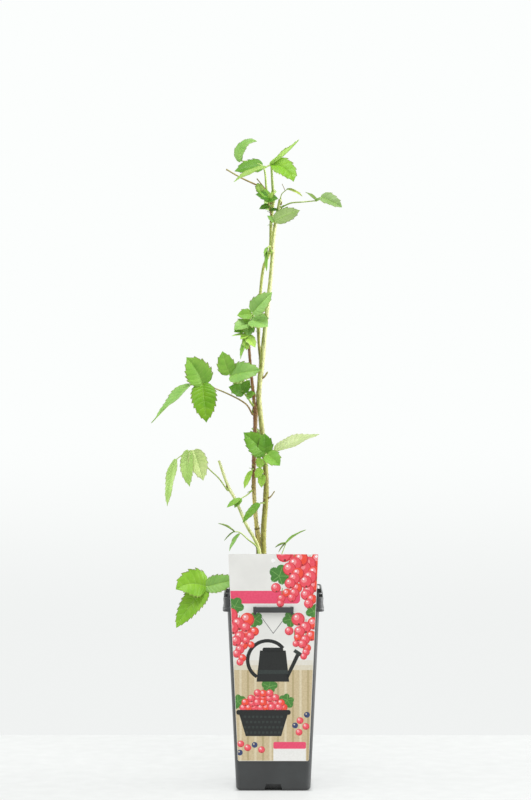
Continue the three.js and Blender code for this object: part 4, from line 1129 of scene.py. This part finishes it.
def dressJoint(cane, look, path, leaves):
    # a pair of stipules on the stalk's foot, and a bud in the angle above it
    foot, along = path.at(stipule["foot"]), path.along(stipule["along"])
    for hand in (-1, 1):
        forward = Quaternion(upright, hand * radians(stipule["spread"])) @ along
        leaves.addBlade(foot, {**leafRule["plain"], **stipule, "forward": forward,
                               "upper": squareTo(upright, forward),
                               "deal": dealerOf(look["seed"] + stipule["seed"] + hand)}, look["tint"])
    centre, radius = caneAt(cane, look["start"] + bud["above"])
    away = Vector((along.x, along.y, 0)).normalized()
    growBud(centre + away * radius * bud["inset"], (away * bud["lean"] + upright).normalized())


def growShoot(name, look):
    deal = dealerOf(look["seed"])
    cane, leaves = canes[look["cane"]], foliage[slotOf[name]]
    stem = None
    for part in look["stalks"]:
        strands = flushedStalks if part.get("flushed") else greenStalks
        if stem is None:
            start, heart = stalkStart(cane, look["start"], part["via"][0])
            before = [heart]
        else:
            start, before = [stem.at(part["leave"])], []
        path = Path([*start, *part["via"]])
        strands.append(limbStrand(path, part["thick"], before))
        for spec in [*part["blades"], *(leafOfThree(part["leaf"], deal) if "leaf" in part else [])]:
            growLeaflet(spec, path, part["thick"][1], deal, look, strands, leaves)
        if stem is None:
            stem = path
            if look["start"] != tip:
                dressJoint(cane, look, path, leaves)


for name, look in shoots.items():
    growShoot(name, look)
report("shoots grown")


# Short spurs that have lost their leaves, each with a bud at its tip, and a scar round the brown cane.
spurs = [
    {"cane": "main", "height": 417, "via": [(-9, -5, 420.5), (-6.6, -5.5, 424)], "thick": (2.4, 1.7)},
    {"cane": "main", "height": 294, "via": [(-3, -5.5, 297), (1.2, -6, 302.7)], "thick": (1.9, 1.1)},
    {"cane": "brown", "height": 331, "via": [(-17.5, -3, 334), (-16.8, -3.5, 336)], "thick": (1.8, 1.3)},
]
spurRule = {"bristly": 0.6, "budAt": 0.86, "budAlong": 0.95, "budThick": 2.1}
for spur in spurs:
    path = Path([caneAt(canes[spur["cane"]], spur["height"])[0], *spur["via"]])
    flushedStalks.append(limbStrand(path, spur["thick"], bristly=spurRule["bristly"]))
    growBud(path.at(spurRule["budAt"]), path.along(spurRule["budAlong"]),
            spur["thick"][1] / spurRule["budThick"])
scar = {"cane": "brown", "height": 264, "levels": ((-1, 0.2), (-0.5, 0.75), (0.5, 0.75), (1, 0.2))}
scarRings = [(*caneAt(canes[scar["cane"]], scar["height"] + up), out) for up, out in scar["levels"]]
budStrands.append([(centre, radius + out, 0) for centre, radius, out in scarRings])


# The leaves' looks, then the pieces: the blades of each slot, the stalks with their hairs, and the buds.
leafGloss = {"upper": (0.4, 0.54), "sides": (0.5, 0.65), "grain": (600, 0.2, 0.05), "patch": 70,
             "specular": {"Specular IOR Level": 0.32}}
leafCodes = {**{name: look[0] for name, look in tints.items()}, **leafSides}
leafLooks = {name: patchy(name, codes, leafGloss["patch"], leafGloss["upper" if name in tints else "sides"],
                          leafGloss["grain"], **leafGloss["specular"]) for name, codes in leafCodes.items()}
for slotName, leaves in foliage.items():
    blades = makePiece(slotName.replace("leaf", "blades"), leaves.points, leaves.faces,
                       [leafLooks[name] for name in leaves.looks], leaves.marks, leafRule["sharpAt"])
    settle(blades, [name for name in shoots if slotOf[name] == slotName])

stalkLook = {"sides": 8, "relief": 0.12, "reliefScale": 900.0, "sharpAt": 60,
             "hairs": {"density": 320000.0, "long": 0.5, "thick": 0.07, "seed": 5, "codes": "9a8a4a b5a866"}}
# Each pair of tones is painted shade, then painted light, as on the canes.
stalkTones = {
    "green": {"low": "809a3a b7cc6c", "high": "9cb852 c9dc8c", "fleck": "8a7a35", "flecks": 0.12,
              "turn": (0.2, 0.75)},
    "flushed": {"low": "7f6038 ab9258", "high": "8f7c48 aea866", "fleck": "6a3a1e", "flecks": 0.25,
                "turn": (0.2, 0.75)},
}
for key, strands in (("green", greenStalks), ("flushed", flushedStalks)):
    hairs = {**stalkLook["hairs"], "name": "leaf_hairs_" + key}
    look = {**stalkLook, "tones": stalkTones[key], "hairs": hairs}
    growLimbs("leaf_stalks_" + key, strands, look)
# The buds' pairs of tones are painted shade, then painted light.
growLimbs("cane_buds", budStrands, {"sides": 10, "relief": 0.3, "reliefScale": 900.0, "tones": {
    "low": "5a3a1c 93713a", "high": "6f6a28 a3a34c", "fleck": "3c1c0e", "flecks": 0.3, "turn": (0.2, 0.75)}})


# The label card hangs on the front strap. Its print is a plain picture of currants, laid on in thin inks.
card = {
    "bottom": 30.3, "top": 242.5, "bottomWide": 72.2, "topWide": 90.7, "thick": 0.5, "lean": 4.45,
    "clear": 0.5, "bleed": 0.35, "tableTop": 124, "layer": 0.004, "inkRoot": 0.02, "sharpAt": 30,
    "inkLook": (700, (0.3, 0.4), (2200, 0.1, 0.02)),
    "inks": {
        "table": "c9b690 d4c39d", "stripeDark": "b5a278 c0ae85", "stripePale": "d9cbab e2d5b8",
        "mist": "dad1bb e0d9c6", "mistPale": "e2ddd0 e7e3d9", "panel": "ecebe7 f2f1ee",
        "ribbon": "e8456a ee5075", "berryDeep": "cc2c3a dc3943", "berry": "ee4a55 f2596a",
        "berryWarm": "f2452f f7543e", "berryLight": "f7868c fa9aa0", "gleam": "fdeff0 ffffff",
        "calyx": "5c2a22 6e3830", "leafInk": "3f7a2c 4c8a36", "leafVein": "7aac5a 88b866",
        "stemInk": "6f8a3a 7f9a48", "charcoal": "0b0e0d 141817", "charcoalPale": "202826 2b3532",
        "plum": "2f3c66 3c4a78",
    },
    # ink, layer, then the corners, or a bar's left, right, low, high and corner radius
    "shapes": [
        ("table", 0, (-60, 60, 30.3, 124)), ("mist", 0, (-60, 60, 124, 129)),
        ("mistPale", 0, (-60, 60, 129, 134)), ("ribbon", 2, (-60, 27, 192, 205, 4)),
        ("panel", 2, (0, 33, 26, 44)), ("ribbon", 3, (0, 33, 43, 50, 1.5)),
        # a watering can in the middle, under the strap
        ("charcoal", 6, [(-17, 112), (16, 112), (12.5, 144), (-13.5, 144)]),
        ("charcoalPale", 7, [(-16.2, 120), (15.1, 120), (14.6, 124), (-15.8, 124)]),
        ("charcoal", 6, [(13, 119), (15, 115), (27, 140), (23.6, 142)]),
        ("charcoalPale", 7, [(20, 142.6), (28.6, 137), (30.6, 140), (22, 145.6)]),
        ("charcoal", 6, (-11, 10, 143, 147, 1.9)),
        # a basket on the striped cloth
        ("charcoal", 4, [(-28, 56), (8, 56), (15, 80), (-35, 80)]),
        ("charcoal", 34, (-37.5, 17.5, 78, 83, 2.2)),
    ],
    "stripes": {"count": 12, "first": -42, "pitch": 7.6, "wide": 2.2},
    "weave": {"rows": 4, "first": 58.5, "rise": 5.4, "count": 9, "left": -28, "pitch": 4.1, "shift": 2,
              "size": (2.6, 2.4, 0.6)},
    "handle": {"middle": (-6, 134), "radius": 20, "from": 38, "step": 10, "count": 21, "thick": 3.6},
    # place, size, turn
    "leaves": [(6, 220, 12, 4.4), (-19, 176, 9, 2.6), (18, 176, 9, 0.2), (43, 216, 11, 0.6),
               (-39, 189, 10, 4.2), (41, 184, 9, 5.4), (-36, 92, 9, 2.3), (14, 93, 9, 0.9),
               (-4, 107, 9, 4.6)],
    # top, foot, berries, their sizes at top and foot, layer
    "bunches": [
        ((37, 241), (36, 192), 12, (8.6, 4.8), 5), ((21, 242), (21, 198), 10, (7.8, 4.4), 33),
        ((9, 208), (8, 192), 4, (5, 3.8), 5), ((-34, 180), (-33, 132), 12, (7.4, 3.6), 5),
        ((-22, 168), (-25, 150), 5, (5, 3.4), 33), ((33, 176), (32, 138), 10, (6.8, 3.4), 5),
        ((21, 164), (22, 151), 3, (4.4, 3.4), 33)],
    "bunchRule": {"stem": 0.7, "spread": (1.15, 0.5), "shake": 0.5},
    "heap": {"rows": (8, 7, 5, 3), "middle": -10, "pitch": 6, "low": 85, "rise": 4.8, "radius": 3.9,
             "shake": 1.4, "seed": 31},
    "loose": [(27, 72), (33, 66), (26, 60), (-33, 48), (-26, 44), (-12, 42)],
    "looseRadius": 3.5,
    "plums": [(34, 78), (-19, 47), (22, 67), (-34, 39)],
    # right, up, size, sides, ink or None for the skin's own, layers above the first
    "berryDots": [(0, 0, 1, 18, "berryDeep", 0), (-0.06, 0.08, 0.88, 18, None, 1),
                  (-0.26, 0.3, 0.45, 18, "berryLight", 2), (-0.34, 0.42, 0.16, 10, "gleam", 3),
                  (0.1, -0.74, 0.15, 8, "calyx", 3)],
    "plumDots": [(0, 0, 3, 18, "plum", 5), (-0.8, 0.9, 0.8, 8, "stripePale", 6)],
    "leafCut": {"points": 72, "inside": 0.72, "lobe": 0.28, "lobes": 2.5, "lobeRound": 0.7,
                "notchRound": 0.6, "teeth": 0.03, "vein": 0.04, "veinReach": 0.8},
}


def cardHalf(height):
    share = (height - card["bottom"]) / (card["top"] - card["bottom"])
    return between((card["bottomWide"], card["topWide"]), share) / 2 - card["bleed"]


def cardPoint(x, height, out):
    lean = radians(card["lean"])
    pivot = (pot["shoulderHeight"] + pot["ledgeHeight"]) / 2
    middle = -pot["rimHalf"] - card["clear"] - card["thick"] / 2
    up = height - pivot
    return (x, middle - up * sin(lean) - out * cos(lean), pivot + up * cos(lean) - out * sin(lean))


def clipped(outline):
    low, high = card["bottom"] + card["bleed"], card["top"] - card["bleed"]
    edges = [(-cardHalf(low), low), (cardHalf(low), low), (cardHalf(high), high), (-cardHalf(high), high)]
    for (ax, ay), (bx, by) in ((edges[i], edges[j]) for i, j in around(4)):
        kept = []
        for before, point in zip(outline[-1:] + outline, outline):
            inner, innerBefore = ((bx - ax) * (y - ay) - (by - ay) * (x - ax) for x, y in (point, before))
            if inner * innerBefore < 0:
                part = innerBefore / (innerBefore - inner)
                kept.append(tuple(between(ends, part) for ends in zip(before, point)))
            if inner >= 0:
                kept.append(point)
        outline = kept
    return outline


def arcOutline(x, height, radius, angles):
    return [(x + radius * cos(a), height + radius * sin(a)) for a in angles]


def roundOutline(x, height, radius, sides=18):
    return arcOutline(x, height, radius, [2 * pi * i / sides for i in range(sides)])


def barOutline(x0, x1, h0, h1, radius=0.0):
    if not radius:
        return [(x0, h0), (x1, h0), (x1, h1), (x0, h1)]
    outline = []
    for x, h, first in ((x1 - radius, h0 + radius, -90), (x1 - radius, h1 - radius, 0),
                        (x0 + radius, h1 - radius, 90), (x0 + radius, h0 + radius, 180)):
        outline += arcOutline(x, h, radius, [radians(first + turn) for turn in (0, 22.5, 45, 67.5, 90)])
    return outline


def berryLayer(turn):
    # berries that touch lie at depths of their own, four layers apart
    return 4 * (turn % 7)


def strokeOutline(points, thick):
    left, right = [], []
    for i, (x, h) in enumerate(points):
        ax, ay = points[max(i - 1, 0)]
        bx, by = points[min(i + 1, len(points) - 1)]
        size = hypot(bx - ax, by - ay)
        nx, ny = (ay - by) / size * thick / 2, (bx - ax) / size * thick / 2
        left.append((x + nx, h + ny))
        right.append((x - nx, h - ny))
    return right + left[::-1]


class Print:
    def __init__(self):
        self.points, self.faces, self.marks, self.inks = [], [], [], []

    def lay(self, outline, ink, layer):
        outline = clipped(outline)
        if len(outline) < 3:
            return
        if ink not in self.inks:
            self.inks.append(ink)
        surface, count, start = card["thick"] / 2, len(outline), len(self.points)
        for out in (surface + card["layer"] * (layer + 1), surface - card["inkRoot"]):
            self.points += [cardPoint(x, h, out) for x, h in outline]
        top = range(start, start + count)
        rows = [tuple(top), tuple(i + count for i in reversed(top))]
        rows += [(top[i], top[i] + count, top[j] + count, top[j]) for i, j in around(count)]
        self.faces += rows
        self.marks += [self.inks.index(ink)] * len(rows)

    def dots(self, x, height, radius, layer, dots, skin=None):
        for right, up, size, sides, ink, above in dots:
            dot = roundOutline(x + right * radius, height + up * radius, size * radius, sides)
            self.lay(dot, ink or skin, layer + above)

    def berry(self, x, height, radius, layer, warm=False):
        self.dots(x, height, radius, layer, card["berryDots"], "berryWarm" if warm else "berry")

    def bunch(self, top, foot, count, sizes, layer, seed):
        # berries hang to the left and right of a stem, and grow smaller to its foot
        rule, deal = card["bunchRule"], dealerOf(seed)
        self.lay(strokeOutline([top, foot], rule["stem"]), "stemInk", layer)
        for i in range(count):
            share = i / (count - 1)
            radius = between(sizes, share)
            side = (-1, 1, 0)[i % 3] * radius * between(rule["spread"], share)
            shift = (deal() - 0.5) * radius * rule["shake"]
            x, height = (between(ends, share) for ends in zip(top, foot))
            self.berry(x + (side + shift), height, radius, layer + 1 + berryLayer(i), warm=i % 3 == 1)

    def leaf(self, x, height, size, turn, layer=3):
        # a lobed leaf with a fine toothed edge, and a vein to each lobe
        cut, outline = card["leafCut"], []
        for i in range(cut["points"]):
            a = 2 * pi * i / cut["points"]
            lobes = cut["inside"] + cut["lobe"] * abs(cos(cut["lobes"] * (a - pi))) ** cut["lobeRound"]
            notch = 0.5 + 0.5 * sin(a / 2) ** cut["notchRound"]
            reach = size * lobes * notch * (1 + cut["teeth"] * (-1) ** i)
            outline.append((x + reach * cos(a + turn), height + reach * sin(a + turn)))
        self.lay(outline, "leafInk", layer)
        for lobe in (-2, -1, 0, 1, 2):
            end = arcOutline(x, height, cut["veinReach"] * size, [pi + turn + lobe * 2 * pi / 5])
            self.lay(strokeOutline([(x, height), *end], cut["vein"] * size), "leafVein", layer + 1)


def printCard():
    picture = Print()
    stripes, weave, handle, heap = card["stripes"], card["weave"], card["handle"], card["heap"]
    for ink, layer, shape in card["shapes"]:
        picture.lay(barOutline(*shape) if isinstance(shape, tuple) else shape, ink, layer)
    for i in range(stripes["count"]):
        x = stripes["first"] + stripes["pitch"] * i
        stripe = barOutline(x, x + stripes["wide"], card["bottom"], card["tableTop"])
        picture.lay(stripe, "stripePale" if i % 2 else "stripeDark", 1)
    for place in card["leaves"]:
        picture.leaf(*place)
    for seed, bunch in enumerate(card["bunches"], 2):
        picture.bunch(*bunch, seed)
    angles = [radians(handle["from"] + handle["step"] * i) for i in range(handle["count"])]
    arc = arcOutline(*handle["middle"], handle["radius"], angles)
    picture.lay(strokeOutline(arc, handle["thick"]), "charcoal", 5)
    wide, tall, corner = weave["size"]
    for row in range(weave["rows"]):
        height = weave["first"] + weave["rise"] * row
        for i in range(weave["count"] + row % 2):
            x = weave["left"] + weave["pitch"] * i - weave["shift"] * (row % 2)
            picture.lay(barOutline(x, x + wide, height, height + tall, corner), "charcoalPale", 5)
    deal = dealerOf(heap["seed"])
    for row, count in enumerate(heap["rows"]):
        for i in range(count):
            x = heap["middle"] + (i - (count - 1) / 2) * heap["pitch"] + heap["shake"] * (deal() - 0.5)
            height = heap["low"] + heap["rise"] * row + deal()
            picture.berry(x, height, heap["radius"], 5 + berryLayer(i + 3 * row), warm=(i + row) % 3 == 1)
    for x, height in card["loose"]:
        picture.berry(x, height, card["looseRadius"], 5)
    for x, height in card["plums"]:
        picture.dots(x, height, 1, 0, card["plumDots"])
    inks = [patchy("ink" + ink[0].upper() + ink[1:], card["inks"][ink], *card["inkLook"])
            for ink in picture.inks]
    piece = makePiece("card_print", picture.points, picture.faces, inks, picture.marks, card["sharpAt"])
    settle(piece)


cardPlastic = patchy("cardPlastic", "e7e6e2 edece8", 45, (0.32, 0.42), (1500, 0.12, 0.03))
dress(frame["nodes"]["label_card"], cardPlastic)
printCard()


# A pale table top that ends behind the pot, a bright even surround, and large soft lamps on both sides.
studio = {
    "table": {"left": -1500, "right": 1500, "front": -2200, "back": 335, "tones": "747574 7a7b7a",
              "look": (3, (0.5, 0.65), (300, 0.05, 0.1)), "glow": "f6f8f7", "strength": 0.62,
              "shaded": (31, 42)},
    "surround": {"tone": "fcfefd", "light": 0.46, "low": 0.9, "rise": (-0.11, -0.03)},
    "lamps": {  # place, size, power
        "keyRight": ((2000, -250, 900), 1300, 28), "rimRight": ((1500, 420, 330), 900, 12),
        "fillLeft": ((-2000, -500, 1100), 1300, 10), "rimLeft": ((-1500, 420, 330), 900, 6),
        "front": ((-100, -1100, 2900), 1600, 58),
    },
    "aim": (0, 0, 330),
}


def makeTable():
    # it glows a little, which is painted light on the floor, and the glow fades out under the pot, which is
    # painted shade there
    size = studio["table"]
    outline = barOutline(size["left"], size["right"], size["front"], size["back"])
    look = patchy("tableTop", size["tones"], *size["look"], **{"Emission Color": tone(size["glow"])})
    graph = Graph(look.node_tree, "ShaderNode")
    away = graph.vector("ABSOLUTE", {0: graph.add("TexCoord", output="Object")})
    parts = graph.add("SeparateXYZ", {0: away}).node.outputs
    start, end = (distance * mm for distance in size["shaded"])
    glow = graph.span(graph.math("MAXIMUM", parts["X"], parts["Y"]), start, end, 0.0, size["strength"],
                      "SMOOTHSTEP")
    graph.feed(glow, graph.tree.nodes["Principled BSDF"].inputs["Emission Strength"])
    makePiece("table", [(x, y, 0) for x, y in outline], [(0, 1, 2, 3)], [look])


def makeSurround():
    # it lights softly, shows bright in what is seen or mirrored, and is a little dimmer at the foot
    look = studio["surround"]
    world = bpy.data.worlds.new("surround")
    bpy.context.scene.world = world
    world.use_nodes = True
    graph = Graph(world.node_tree, "ShaderNode")
    background = world.node_tree.nodes["Background"].inputs
    background["Color"].default_value = tone(look["tone"])
    height = graph.add("SeparateXYZ", {0: graph.add("TexCoord", output="Generated")}, "Z")
    rise = graph.span(height, *look["rise"], look["low"], 1.0, "SMOOTHSTEP")
    path = graph.add("LightPath").node.outputs
    shown = graph.math("MAXIMUM", path["Is Camera Ray"], path["Is Glossy Ray"])
    graph.feed(graph.span(shown, 0.0, 1.0, look["light"], rise), background["Strength"])


def makeLamps():
    for name, (place, size, power) in studio["lamps"].items():
        lamp = bpy.data.lights.new(name, "AREA")
        lamp.energy = power
        lamp.size = size * mm
        aimPiece(linkPiece(name, lamp), place, studio["aim"])


makeTable()
makeSurround()
makeLamps()
bpy.context.scene.view_settings.view_transform = "Standard"
report("stage lit")

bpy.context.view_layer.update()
report("sizes written")
